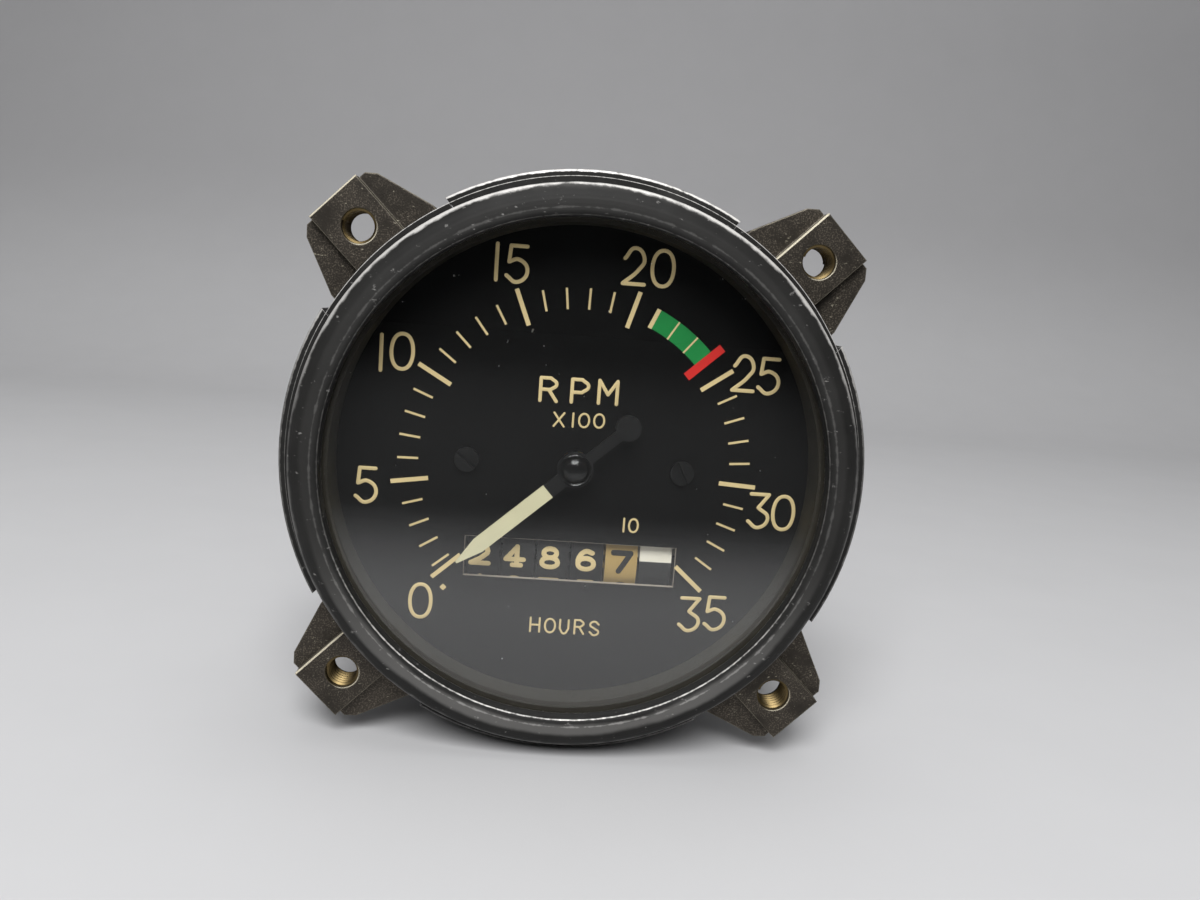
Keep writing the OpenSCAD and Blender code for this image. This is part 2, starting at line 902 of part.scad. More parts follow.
// Rear jewel: carries the back pivot of the staff
module rear_jewel() {
    color("firebrick")
    stand()
    ring(shaft_radius, pivot_radius + running_gap, jewel_back, jewel_front, small_fn);
}

module staff() {
    color("silver")
    stand() {
        bar(staff_radius, staff_back, staff_front);
        bar(pivot_radius, staff_back - pivot_length, staff_back + thin);
    }
}

module drag_cup() {
    color("gainsboro")
    stand() {
        ring(cup_radius, staff_radius + seat_gap, cup_front - cup_disc, cup_front);
        ring(cup_radius, cup_bore, cup_back, cup_front - cup_disc + thin);
    }
}

// Cup hub with the arm that meets the stop pin at rest
module cup_hub() {
    hub_front = cup_front + cup_hub_height;
    color("goldenrod")
    stand()
    difference() {
        union() {
            bar(cup_hub_radius, cup_front, hub_front);
            rotate(pointer_turn)
            translate([0, -stop_arm_width / 2, cup_front + stop_arm_stand])
            cube([stop_arm_length, stop_arm_width, stop_arm_sheet]);
        }
        hole(staff_radius + seat_gap, cup_front, hub_front);
    }
}

// Collet on the staff that holds the inner end of the hairspring
module spring_collet() {
    collet_back = spring_level - collet_stand;
    collet_front = spring_level + spring_height + collet_stand;
    color("goldenrod")
    stand()
    ring(spring_start - spring_sheet / 2, staff_radius + seat_gap, collet_back, collet_front, small_fn);
}

// Points on one side of the spiral spring, and its gap to the next turn
function spring_side(offset) = [
    for (i = [0 : spring_turns * turn_steps])
    let (a = 360 * i / turn_steps)
    let (r = spring_start + spring_step * i / turn_steps + offset)
    [r * cos(a), r * sin(a)]
];
function backwards(list) = [for (i = [len(list) - 1 : -1 : 0]) list[i]];
spring_outside = spring_side(spring_sheet / 2);
spring_inside = spring_side(-spring_sheet / 2 + 0.01);
spring_gaps = [
    for (i = [0 : len(spring_outside) - turn_steps - 1])
    norm(spring_inside[i + turn_steps] - spring_outside[i])
];
echo(hairspring_gap = min(spring_gaps));

module hairspring() {
    color("royalblue")
    stand()
    translate([0, 0, spring_level])
    linear_extrude(height = spring_height)
    polygon(concat(spring_outside, backwards(spring_inside)));
}

// Pointer: a spear blade, a round centre and a tail with a round counterweight
module pointer() {
    half = pointer_width / 2;
    tip_half = 0.15;
    taper = 4;
    tail_half = 0.8;
    centre = 2.6;
    weight = 1.8;
    weight_below = 0.9;
    weight_above = 0.6;
    color("beige")
    stand()
    translate([0, 0, pointer_level])
    rotate(pointer_turn)
    difference() {
        union() {
            linear_extrude(height = pointer_thickness)
            polygon([[0, -half], [pointer_length - taper, -half], [pointer_length, -tip_half],
                [pointer_length, tip_half], [pointer_length - taper, half], [0, half]]);
            translate([-tail_length, -tail_half, 0])
            cube([tail_length, 2 * tail_half, pointer_thickness]);
            translate([-tail_length, 0, 0])
            bar(weight, -weight_below, weight_above);
            bar(centre, 0, pointer_thickness);
        }
        hole(staff_radius + seat_gap, 0, pointer_thickness);
    }
}

// Pointer hub: a bush below the pointer and a domed cap above it
module pointer_hub() {
    bush = 1.6;
    bush_length = 1.3;
    cap = 2.3;
    color([0.05, 0.05, 0.05])
    stand() {
        ring(bush, staff_radius + seat_gap, pointer_level - bush_length, pointer_level, small_fn);
        difference() {
            rotate_extrude()
            polygon([[0, cap_low], [cap, cap_low], [cap, cap_low + 0.3], [cap - 0.4, cap_low + 0.75],
                [cap - 1.2, cap_low + 1.0], [cap - 2, cap_low + 1.1], [0, cap_low + 1.1]]);
            bar(staff_radius + seat_gap, cap_low - past, staff_front + thin);
        }
    }
}

module cross_shaft() {
    end = 0.8;
    left = bracket_places[0] - end;
    right = bracket_places[1] + bracket_sheet + end;
    color("silver")
    stand()
    translate([0, cross_y, cross_z])
    along_x()
    bar(slow_radius, left, right);
}

// Twelve-tooth wheel on the cross shaft, driven by the worm on the drive shaft
module cross_wheel() {
    hub = 2.2;
    hub_left = bracket_places[0] + bracket_sheet + 0.3;
    hub_right = 3;
    color("goldenrod")
    stand()
    translate([0, cross_y, cross_z])
    along_x()
    gear_wheel(cross_teeth, slow_radius + seat_gap, hub, hub_left, hub_right, -90 + 180 / cross_teeth);
}

module cross_worm() {
    color("slategray")
    stand()
    translate([upright_x, cross_y, cross_z])
    along_x()
    worm(cross_worm_radius, slow_radius + seat_gap, -90);
}

module upright_shaft() {
    color("silver")
    stand()
    at_each([upright_place])
    bar(slow_radius, cross_z - slow_end, counter_z + worm_length / 2 + 1);
}

// Thirty-tooth wheel on the upright shaft, driven by the worm on the cross shaft
module upright_wheel() {
    hub = 2.6;
    hub_low = -2;
    hub_high = rear_plate_back - cross_z - 0.3;
    color("goldenrod")
    stand()
    translate([upright_x, upright_y, cross_z])
    gear_wheel(upright_teeth, slow_radius + seat_gap, hub, hub_low, hub_high, 90 + 180 / upright_teeth);
}

module upright_worm() {
    color("slategray")
    stand()
    translate([upright_x, upright_y, counter_z])
    worm(upright_worm_radius, slow_radius + seat_gap, -90);
}

// Rim, web and hub of a number wheel, about Z, its width centred on zero
module drum_body(hub_end) {
    bore = axle_radius + running_gap;
    rim_inside = drum_radius - drum_rim;
    rotate_extrude()
    polygon([[bore, -drum_half], [drum_radius, -drum_half], [drum_radius, drum_half], [rim_inside, drum_half],
        [rim_inside, web_end], [drum_hub, web_end], [drum_hub, hub_end], [bore, hub_end]]);
}

// Two carry teeth on the left face of a number wheel, away from the pinion
module carry_teeth() {
    sunk = 2 * thin;
    for (a = carry_angles)
    rotate(a)
    translate([carry_inside, -carry_size[1] / 2, sunk - drum_half - carry_size[2]])
    cube(carry_size);
}

// A number wheel, with the inside gear that its pinion turns
module number_wheel(k) {
    color(k == 5 ? "wheat" : "black")
    stand()
    translate([drum_x(k), counter_y, counter_z])
    along_x() {
        drum_body(web_end + 0.2);
        translate([0, 0, web_end - thin])
        linear_extrude(height = ring_gear_end - web_end + thin)
        difference() {
            circle(r = drum_radius - drum_rim / 2);
            rotate(180 / counter_teeth)
            polygon(inside_points(counter_teeth, tooth_half));
        }
        if (k > 1) carry_teeth();
    }
}
module number_wheel_1() number_wheel(1);
module number_wheel_2() number_wheel(2);
module number_wheel_3() number_wheel(3);
module number_wheel_4() number_wheel(4);
module number_wheel_5() number_wheel(5);

// Indicator drum, whose hub reaches the counter wheel
module indicator_drum() {
    color("white")
    stand()
    translate([drum_x(drum_count), counter_y, counter_z])
    along_x() {
        drum_body(wheel_left - drum_x(drum_count));
        carry_teeth();
    }
}

// Twenty-tooth wheel that turns the indicator drum
module counter_wheel() {
    hub_left = -gear_face / 2;
    hub_right = gear_face / 2 + 0.5;
    turn = 90 + 180 / counter_teeth;
    color("goldenrod")
    stand()
    translate([upright_x, counter_y, counter_z])
    along_x()
    gear_wheel(counter_teeth, axle_radius + running_gap, drum_hub, hub_left, hub_right, turn);
}

// Six-tooth pinion that hands a carry to the number wheel on its left
module pinion(k) {
    color("gainsboro")
    stand()
    translate([drum_x(k), counter_y, counter_z])
    along_x()
    translate([pinion_centres, 0, 0])
    difference() {
        translate([0, 0, pinion_left])
        linear_extrude(height = pinion_right - pinion_left)
        polygon(gear_points(pinion_teeth, tooth_half - pinion_play));
        hole(stub_radius + running_gap, pinion_left, pinion_right);
    }
}
module pinion_1() pinion(1);
module pinion_2() pinion(2);
module pinion_3() pinion(3);
module pinion_4() pinion(4);
module pinion_5() pinion(5);

case_shell();
mounting_ring();
bezel_ring();
glass_gasket();
cover_glass();
inner_spacer();
dial_plate();
dial_screws();
dial_posts();
front_plate();
rear_plate();
pillars();
pillar_screws();
rear_posts();
frame_screws();
drive_boss();
boss_screws();
main_bushing();
plate_bushing();
field_ring();
front_jewel();
spring_stud();
stop_pin();
counter_frame();
counter_screws();
counter_axle();
pinion_carriers();
shaft_brackets();
bracket_screws();
drive_shaft();
drive_worm();
magnet();
magnet_hub();
thrust_washer();
rear_jewel();
staff();
drag_cup();
cup_hub();
spring_collet();
hairspring();
pointer();
pointer_hub();
cross_shaft();
cross_wheel();
cross_worm();
upright_shaft();
upright_wheel();
upright_worm();
indicator_drum();
counter_wheel();
number_wheel_1();
number_wheel_2();
number_wheel_3();
number_wheel_4();
number_wheel_5();
pinion_1();
pinion_2();
pinion_3();
pinion_4();
pinion_5();
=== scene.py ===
"""Looks of an aircraft tachometer with an hour counter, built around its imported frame."""

import json
import math

import bmesh
import bpy
from bpy.props import FloatProperty, FloatVectorProperty, PointerProperty
from bpy.types import Operator, Panel, PropertyGroup
from mathutils import Euler, Matrix, Vector


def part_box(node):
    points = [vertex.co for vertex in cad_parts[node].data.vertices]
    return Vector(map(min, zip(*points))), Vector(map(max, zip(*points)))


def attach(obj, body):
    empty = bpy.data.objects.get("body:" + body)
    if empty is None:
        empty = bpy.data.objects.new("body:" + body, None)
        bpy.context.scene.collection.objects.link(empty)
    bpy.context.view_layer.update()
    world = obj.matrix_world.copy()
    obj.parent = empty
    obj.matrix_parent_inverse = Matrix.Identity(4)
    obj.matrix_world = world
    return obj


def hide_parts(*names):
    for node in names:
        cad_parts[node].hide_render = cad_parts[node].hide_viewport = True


bl_info = {
    "name": "Aircraft tachometer",
    "version": (1, 0, 0),
    "blender": (4, 5, 0),
    "location": "View3D > Sidebar > Tachometer",
    "description": "Dresses an aircraft tachometer with an hour counter",
    "category": "Add Mesh",
}

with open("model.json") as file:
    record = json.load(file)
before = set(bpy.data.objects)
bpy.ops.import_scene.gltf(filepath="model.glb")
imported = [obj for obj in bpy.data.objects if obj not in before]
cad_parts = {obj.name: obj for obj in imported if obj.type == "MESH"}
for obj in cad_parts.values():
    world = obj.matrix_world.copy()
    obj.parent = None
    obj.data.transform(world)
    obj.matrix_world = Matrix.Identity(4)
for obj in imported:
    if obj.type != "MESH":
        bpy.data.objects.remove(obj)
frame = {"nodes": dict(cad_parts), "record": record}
NODES = frame["nodes"]
SLOT_OF = {part["node"]: part["material_slot"] for part in frame["record"]["subparts"]}
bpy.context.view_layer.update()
MM = 0.001
WHOLE_TURN = 2 * math.pi
QUARTER_TURN = math.pi / 2
FACE = Matrix.Rotation(QUARTER_TURN, 4, "X")
DIAGONAL = math.sqrt(0.5)
LUG_HOLE_CIRCLE = 88.9 * MM
LUG_HOLE = LUG_HOLE_CIRCLE / 2 * DIAGONAL
FLANGE_THICKNESS = 2.5 * MM
MATERIALS = {}


def front_level(node):
    """Level of a node's front, measured forward from the lug pads."""
    return -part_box(node)[0].y


def back_level(node):
    """Level of a node's back, measured forward from the lug pads."""
    return -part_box(node)[1].y


def length(millimetres, label, note):
    """A length that a user may change, given in millimetres."""
    metres = millimetres * MM
    return FloatProperty(name=label, description=note, default=metres, unit="LENGTH", precision=5)


def angle(degrees, label, note):
    """An angle that a user may change, given in degrees."""
    return FloatProperty(name=label, description=note, default=math.radians(degrees), subtype="ANGLE")


def number(value, label, note, unit="NONE"):
    """A number that a user may change."""
    return FloatProperty(name=label, description=note, default=value, unit=unit)


def colour(red, green, blue, label, note):
    """A linear colour that a user may change."""
    value = (red, green, blue, 1.0)
    return FloatVectorProperty(
        name=label, description=note, default=value, size=4, subtype="COLOR", min=0, max=1
    )


class TachDial(PropertyGroup):
    """Sizes of the print on the dial and on the number wheels."""

    print_thickness: length(0.05, "Print thickness", "How far the print stands off the dial")
    zero_angle: angle(-136.89, "Zero angle", "Clockwise angle of the zero mark from straight up")
    step_angle: angle(7.666, "Step angle", "Angle between neighbouring marks")
    major_inner: length(21.24, "Long mark inside", "Inner radius of the long marks")
    major_outer: length(26.64, "Long mark outside", "Outer radius of the long marks")
    major_width: length(0.63, "Long mark width", "Width of the long marks")
    minor_inner: length(22.55, "Short mark inside", "Inner radius of the short marks")
    minor_outer: length(25.55, "Short mark outside", "Outer radius of the short marks")
    minor_width: length(0.32, "Short mark width", "Width of the short marks")
    limit_inner: length(20.6, "Limit inside", "Inner radius of the red limit bar")
    limit_outer: length(27.2, "Limit outside", "Outer radius of the red limit bar")
    limit_width: length(1.25, "Limit width", "Width of the red limit bar")
    numeral_height: length(5.0, "Numeral height", "Height of the numerals between stroke centres")
    numeral_width: length(3.05, "Numeral width", "Width of the numerals between stroke centres")
    numeral_stroke: length(0.54, "Numeral stroke", "Width of the numerals' strokes")
    dot_radius: length(26.39, "Dot radius", "Distance of the square zero dot from the middle")
    dot_size: length(0.72, "Dot size", "Side of the square zero dot")
    digit_height: length(2.8, "Digit height", "Height of the counter digits between stroke centres")
    digit_width: length(2.6, "Digit width", "Width of the counter digits between stroke centres")
    digit_stroke: length(0.76, "Digit stroke", "Width of the counter digits' strokes")


class TachHardware(PropertyGroup):
    """Sizes of the screws, the thread and the pointer's hub."""

    slot_width: length(0.5, "Slot width", "Width of the slots in the screw heads")
    slot_depth: length(0.45, "Slot depth", "Depth of the slots in the screw heads")
    thread_pitch: length(1.411, "Thread pitch", "Distance between turns of the drive thread")
    thread_depth: length(0.75, "Thread depth", "Depth of the drive thread")
    lug_pitch: length(0.79, "Lug pitch", "Distance between turns of the lug threads")
    cream_start: length(4.9, "Cream start", "Radius at which the pointer's cream paint starts")
    pointer_rest: angle(-132, "Pointer rest", "Clockwise angle of the resting pointer from straight up")


class TachColours(PropertyGroup):
    """Colours of the finishes."""

    cream: colour(0.66, 0.522, 0.264, "Print cream", "Aged cream print of the dial")
    pointer: colour(0.6, 0.565, 0.37, "Pointer cream", "Pale green cream of the pointer's blade")
    green: colour(0.006, 0.2, 0.042, "Band green", "Green of the working band")
    red: colour(0.578, 0.021, 0.017, "Limit red", "Red of the limit bar")
    dial: colour(0.0035, 0.0035, 0.0035, "Dial black", "Matt black of the dial")
    bezel: colour(0.0145, 0.0142, 0.0136, "Bezel black", "Dull black paint of the bezel")
    # Pale metal of the bezel's rubbed edges, also the colour of its painted highlights and sheens
    bezel_worn: colour(0.85, 0.83, 0.8, "Bezel worn", "Rubbed edges of the bezel's paint")
    case: colour(0.014, 0.014, 0.0145, "Case black", "Black paint of the case")
    case_worn: colour(0.3, 0.295, 0.285, "Case worn", "Rubbed edges of the case's paint")
    bronze: colour(0.04, 0.034, 0.027, "Lug bronze", "Darkened bronze of the mounting lugs")
    # Bright metal of the lugs' rubbed edges, also the colour of their painted highlight
    bronze_worn: colour(0.8, 0.73, 0.56, "Lug worn", "Bright metal at the lugs' edges")
    brass: colour(0.62, 0.45, 0.18, "Brass", "Turned brass of the movement")
    steel: colour(0.42, 0.42, 0.43, "Steel", "Ground steel of the movement")
    aluminium: colour(0.6, 0.6, 0.6, "Aluminium", "Machined aluminium of the movement")
    drum_cream: colour(0.4, 0.275, 0.095, "Wheel cream", "Cream of the last number wheel")
    drum_white: colour(0.78, 0.74, 0.62, "Wheel white", "White half of the indicator drum")
    drum_black: colour(0.006, 0.006, 0.006, "Wheel black", "Black of the number wheels")


class TachStage(PropertyGroup):
    """Floor, backdrop, lamps and camera."""

    floor_level: length(-41.4, "Floor level", "Height of the floor in the part's frame")
    floor_colour: colour(0.61, 0.61, 0.62, "Floor colour", "Pale floor")
    wall_colour: colour(0.46, 0.458, 0.467, "Backdrop colour", "Backdrop behind the instrument")
    lens: number(30.0, "Lens", "Focal length in millimetres")
    key_power: number(0.9, "Key power", "Power of the overhead lamp", "POWER")
    front_power: number(5.5, "Front power", "Power of the front lamp", "POWER")
    back_power: number(3.2, "Back power", "Power of the rear lamp", "POWER")
    world_level: number(0.12, "World level", "Strength of the even light")


def shade(value, factor):
    """A colour made darker or lighter by a factor."""
    return (value[0] * factor, value[1] * factor, value[2] * factor, 1.0)


class Nodes:
    """Short ways to add nodes to one shader tree."""

    def __init__(self, tree):
        self.tree = tree

    def feed(self, socket, value):
        """Links a socket to an input, or sets the input to a plain value."""
        if isinstance(value, bpy.types.NodeSocket):
            self.tree.links.new(value, socket)
        else:
            socket.default_value = value

    def feed_named(self, inputs, **values):
        """Feeds inputs by their names, with underscores for spaces."""
        for label, value in values.items():
            self.feed(inputs[label.replace("_", " ")], value)

    def add(self, kind, *values, **settings):
        """A shader node with its settings, its first inputs fed in order."""
        node = self.tree.nodes.new("ShaderNode" + kind)
        for name, value in settings.items():
            setattr(node, name, value)
        for socket, value in zip(node.inputs, values):
            self.feed(socket, value)
        return node

    def math(self, operation, *values, clamp=False):
        """A Math node fed by sockets or plain numbers."""
        return self.add("Math", *values, operation=operation, use_clamp=clamp).outputs[0]

    def times(self, first, second):
        """The product of two values."""
        return self.math("MULTIPLY", first, second)

    def minus(self, first, second):
        """The difference of two values."""
        return self.math("SUBTRACT", first, second)

    def ramp(self, value, low, high):
        """A smooth step from 0 at low to 1 at high."""
        return self.add("MapRange", value, low, high, interpolation_type="SMOOTHSTEP").outputs["Result"]

    def soft_mask(self, value, low, softness):
        """A smooth step from 0 at low to 1 a softness above it."""
        return self.ramp(value, low, self.math("ADD", low, softness))

    def span(self, mask, first, second):
        """A number that goes from first to second with a mask."""
        return self.add("MapRange", mask, 0.0, 1.0, first, second).outputs["Result"]

    def mix(self, mask, first, second):
        """A colour between two, each a plain colour or a socket."""
        node = self.add("Mix", mask, data_type="RGBA")
        ends = [socket for socket in node.inputs if socket.type == "RGBA"]
        self.feed(ends[0], first)
        self.feed(ends[1], second)
        return [socket for socket in node.outputs if socket.type == "RGBA"][0]

    def place(self):
        """The Object coordinate of the shaded point."""
        return self.add("TexCoord").outputs["Object"]

    def split(self):
        """The separate X, Y and Z of the Object coordinate."""
        return self.add("SeparateXYZ", self.place()).outputs

    def axis_distance(self):
        """Distance of the shaded point from the instrument's axis."""
        flat = self.add("VectorMath", self.place(), (1.0, 0.0, 1.0), operation="MULTIPLY")
        return self.add("VectorMath", flat.outputs["Vector"], operation="LENGTH").outputs["Value"]

    def dot(self, first, second):
        """The dot product of two directions."""
        return self.add("VectorMath", first, second, operation="DOT_PRODUCT").outputs["Value"]

    def noise(self, place, scale, detail, roughness=0.55):
        """A noise value at a scale given as a number or a socket."""
        node = self.add("TexNoise", place)
        self.feed_named(node.inputs, Scale=scale, Detail=detail, Roughness=roughness)
        return node.outputs["Fac"]

    def rounded(self, radius):
        """The surface's normal, with its edges rounded by a radius."""
        return self.add("Bevel", radius, samples=6).outputs["Normal"]

    def group(self, name, **values):
        """The outputs of a node group placed with its own values."""
        node = self.add("Group", node_tree=bpy.data.node_groups[name])
        self.feed_named(node.inputs, **values)
        return node.outputs


def node_group(name, outputs, **inputs):
    """A new shader node group, with its float inputs and outputs."""
    group = bpy.data.node_groups.new(name, "ShaderNodeTree")
    kind = "NodeSocketFloat"
    for label, value in inputs.items():
        socket = group.interface.new_socket(label.replace("_", " "), in_out="INPUT", socket_type=kind)
        socket.default_value = value
    for label in outputs:
        group.interface.new_socket(label, in_out="OUTPUT", socket_type=kind)
    given = group.nodes.new("NodeGroupInput").outputs
    result = group.nodes.new("NodeGroupOutput").inputs
    return Nodes(group), given, result


def make_edge_wear():
    """Edges rubbed through to a brighter colour, broken up by noise."""
    nodes, given, result = node_group("edge_wear", ("Mask",), Radius=0.3 * MM, Scale=900.0, Amount=0.5)
    surface = nodes.add("NewGeometry").outputs["Normal"]
    turn = nodes.minus(1.0, nodes.dot(nodes.rounded(given["Radius"]), surface))
    patch = nodes.noise(nodes.place(), given["Scale"], detail=5.0)
    broken = nodes.times(nodes.times(turn, 4.0), patch)
    low = nodes.times(nodes.minus(1.0, given["Amount"]), 0.8)
    nodes.feed(result["Mask"], nodes.soft_mask(broken, low, softness=0.35))


def make_scuffs():
    """Small rubbed spots and thin scratches scattered over a surface."""
    nodes, given, result = node_group("scuffs", ("Mask",), Scale=500.0, Amount=0.35)
    place = nodes.place()
    stretch = nodes.add("Mapping", place)
    nodes.feed_named(stretch.inputs, Scale=(1.0, 0.35, 2.6), Rotation=(0.4, 0.7, 0.3))
    spots = nodes.noise(place, given["Scale"], detail=8.0, roughness=0.65)
    lines = nodes.noise(stretch.outputs["Vector"], given["Scale"], detail=3.0)
    low = nodes.minus(0.45, nodes.times(given["Amount"], 0.25))
    nodes.feed(result["Mask"], nodes.soft_mask(nodes.times(spots, lines), low, softness=0.09))


def make_grain():
    """Fine unevenness of paint or metal, as a height and as a slow change of tone."""
    nodes, given, result = node_group("grain", ("Height", "Tone"), Scale=2500.0, Slow_Scale=160.0)
    place = nodes.place()
    nodes.feed(result["Height"], nodes.noise(place, given["Scale"], detail=4.0))
    nodes.feed(result["Tone"], nodes.noise(place, given["Slow Scale"], detail=5.0))


def make_ring_wear():
    """A pale line round the instrument at one radius and depth, broken up by noise, serving both as rubbed
    wear and as painted highlight and sheen.
    """
    sizes = {"Radius": 39.0 * MM, "Width": 0.3 * MM, "Depth": 0.0, "Reach": 1.0 * MM}
    nodes, given, result = node_group("ring_wear_and_sheen", ("Mask",), **sizes, Scale=300.0, Amount=0.6)
    away = nodes.math("ABSOLUTE", nodes.minus(nodes.axis_distance(), given["Radius"]))
    away = nodes.math("DIVIDE", away, given["Width"])
    behind = nodes.math("ABSOLUTE", nodes.minus(nodes.split()["Y"], given["Depth"]))
    behind = nodes.math("DIVIDE", behind, given["Reach"])
    near = nodes.math("SUBTRACT", 1.0, nodes.math("MAXIMUM", away, behind), clamp=True)
    patch = nodes.noise(nodes.place(), given["Scale"], detail=6.0, roughness=0.6)
    level = nodes.times(near, nodes.math("ADD", patch, 0.5))
    low = nodes.minus(1.15, nodes.times(given["Amount"], 0.5))
    nodes.feed(result["Mask"], nodes.soft_mask(level, low, softness=0.3))


class Finish(Nodes):
    """A material on its Principled BSDF, with a grain that may change its roughness."""

    def __init__(self, name, fine=None, slow=None, rough=None):
        MATERIALS[name] = bpy.data.materials.new(name)
        MATERIALS[name].use_nodes = True
        super().__init__(MATERIALS[name].node_tree)
        if fine:
            grain = self.group("grain", Scale=fine, Slow_Scale=slow)
            self.height = grain["Height"]
            self.tone = grain["Tone"]
        if rough:
            self.give(Roughness=self.span(self.tone, *rough))

    def give(self, **values):
        """Feeds inputs of the Principled BSDF."""
        self.feed_named(self.tree.nodes["Principled BSDF"].inputs, **values)

    def toned(self, base, low, high):
        """A colour that goes from a darker to a lighter shade with the grain's tone."""
        return self.mix(self.tone, shade(base, low), shade(base, high))

    def bump(self, strength, distance, rounding=None):
        """Bumps the normal with the finish's height, over edges rounded by a small radius."""
        node = self.add("Bump")
        self.feed_named(node.inputs, Strength=strength, Distance=distance, Height=self.height)
        if rounding:
            self.feed_named(node.inputs, Normal=self.rounded(rounding))
        self.give(Normal=node.outputs["Normal"])


def case_paint(name, colours):
    """Satin black paint of the case, uneven in tone, rubbed bright along its edges."""
    finish = Finish(name, fine=1400.0, slow=140.0, rough=(0.38, 0.62))
    wear = 0.58
    rounding = 0.3 * MM
    edges = finish.group("edge_wear", Radius=rounding * 1.6, Scale=700.0, Amount=wear)["Mask"]
    scuffs = finish.group("scuffs", Scale=420.0, Amount=wear * 0.7)["Mask"]
    scuffed = finish.mix(scuffs, finish.toned(colours.case, 0.6, 1.4), shade(colours.case_worn, 0.6))
    finish.give(Base_Color=finish.mix(edges, scuffed, colours.case_worn))
    finish.bump(0.25, 0.03 * MM, rounding)


def bare_metal(name, base, rough, ring_spacing=None):
    """Machined metal with a fine grain or with rings left by a lathe."""
    finish = Finish(name, fine=2600.0, slow=220.0, rough=(rough - 0.1, rough + 0.1))
    finish.give(Base_Color=finish.toned(base, 0.75, 1.15), Metallic=1.0)
    if ring_spacing:
        turns = finish.math("DIVIDE", finish.axis_distance(), ring_spacing)
        finish.height = finish.math("SINE", finish.times(turns, WHOLE_TURN))
    finish.bump(0.15, 0.02 * MM, 0.12 * MM)


def flat_paint(name, base, rough, spread=0.2, relief=0.12, gloss=0.25):
    """Matt paint or moulded plastic, slightly uneven in tone."""
    finish = Finish(name, fine=3000.0, slow=260.0, rough=(rough - 0.08, rough + 0.08))
    finish.give(Base_Color=finish.toned(base, 1 - spread, 1 + spread), Specular_IOR_Level=gloss)
    finish.bump(relief, 0.015 * MM)


def matt_dial(name, base):
    """Dead matt black of the dial, with only a slow change of tone."""
    finish = Finish(name, fine=900.0, slow=90.0, rough=(0.55, 0.7))
    finish.give(Base_Color=finish.toned(base, 0.7, 1.3), Specular_IOR_Level=0.06)


def bezel_paint(name, colours):
    """Dull black paint of the bezel, rubbed to bare metal along its edges, with pale rings along its rim,
    crest and lip that are partly wear and partly painted highlight and sheen, made stronger at the top and at
    the bottom where the light catches them.
    """
    finish = Finish(name, fine=1600.0, slow=150.0)
    scuffs = finish.group("scuffs", Scale=900.0, Amount=0.38)["Mask"]
    painted = finish.mix(scuffs, finish.toned(colours.bezel, 0.5, 1.6), shade(colours.bezel_worn, 0.2))
    wear_and_highlights = finish.group("edge_wear", Radius=0.3 * MM, Scale=900.0, Amount=0.4)["Mask"]
    upward = finish.split()["Z"]
    # Height masks for the rings: they make the pale lines and sheens stronger at the top and at the bottom, a
    # painted highlight and sheen where the light catches the bezel
    downward = finish.ramp(upward, -8 * MM, -34 * MM)
    wear_and_highlight_top = finish.span(finish.ramp(upward, 4 * MM, 32 * MM), 0.12, 1.0)
    painted_sheen_top = finish.span(finish.ramp(upward, 12 * MM, 36 * MM), 0.0, 0.1)
    wear_and_highlight_bottom = finish.span(downward, 0.1, 0.95)
    painted_sheen_bottom = finish.span(downward, 0.01, 0.11)
    scratches_and_sheen_bottom = finish.span(downward, 0.06, 0.3)
    # A row gives radius, width, depth and reach in millimetres, then the noise's scale, amount and share; the
    # share weights a row by height as painted highlight or sheen
    rings = (
        (38.95, 1.0, -3.5, 1.8, 380.0, 1.2, wear_and_highlight_top),
        (39.5, 3.6, -2.2, 4.6, 60.0, 1.3, painted_sheen_top),
        (40.4, 0.16, 0.0, 0.6, 1300.0, 1.0, wear_and_highlight_top),
        (41.15, 0.6, 0.1, 1.0, 900.0, 1.1, wear_and_highlight_top),
        (36.4, 2.4, -5.0, 3.0, 60.0, 1.3, painted_sheen_bottom),
        (35.9, 1.0, -5.0, 1.2, 700.0, 0.8, scratches_and_sheen_bottom),
        (34.95, 0.2, -4.5, 1.0, 1300.0, 1.15, wear_and_highlight_bottom),
    )
    for radius, width, depth, reach, scale, amount, share in rings:
        sizes = {"Radius": radius * MM, "Width": width * MM, "Depth": depth * MM, "Reach": reach * MM}
        line = finish.group("ring_wear_and_sheen", **sizes, Scale=scale, Amount=amount)["Mask"]
        wear_and_highlights = finish.math("MAXIMUM", wear_and_highlights, finish.times(line, share))
    finish.give(Base_Color=finish.mix(wear_and_highlights, painted, colours.bezel_worn), Metallic=finish.times(wear_and_highlights, 0.4))
    finish.give(Roughness=finish.span(wear_and_highlights, 0.56, 0.34), Specular_IOR_Level=0.16)
    finish.bump(0.35, 0.04 * MM, 0.25 * MM)


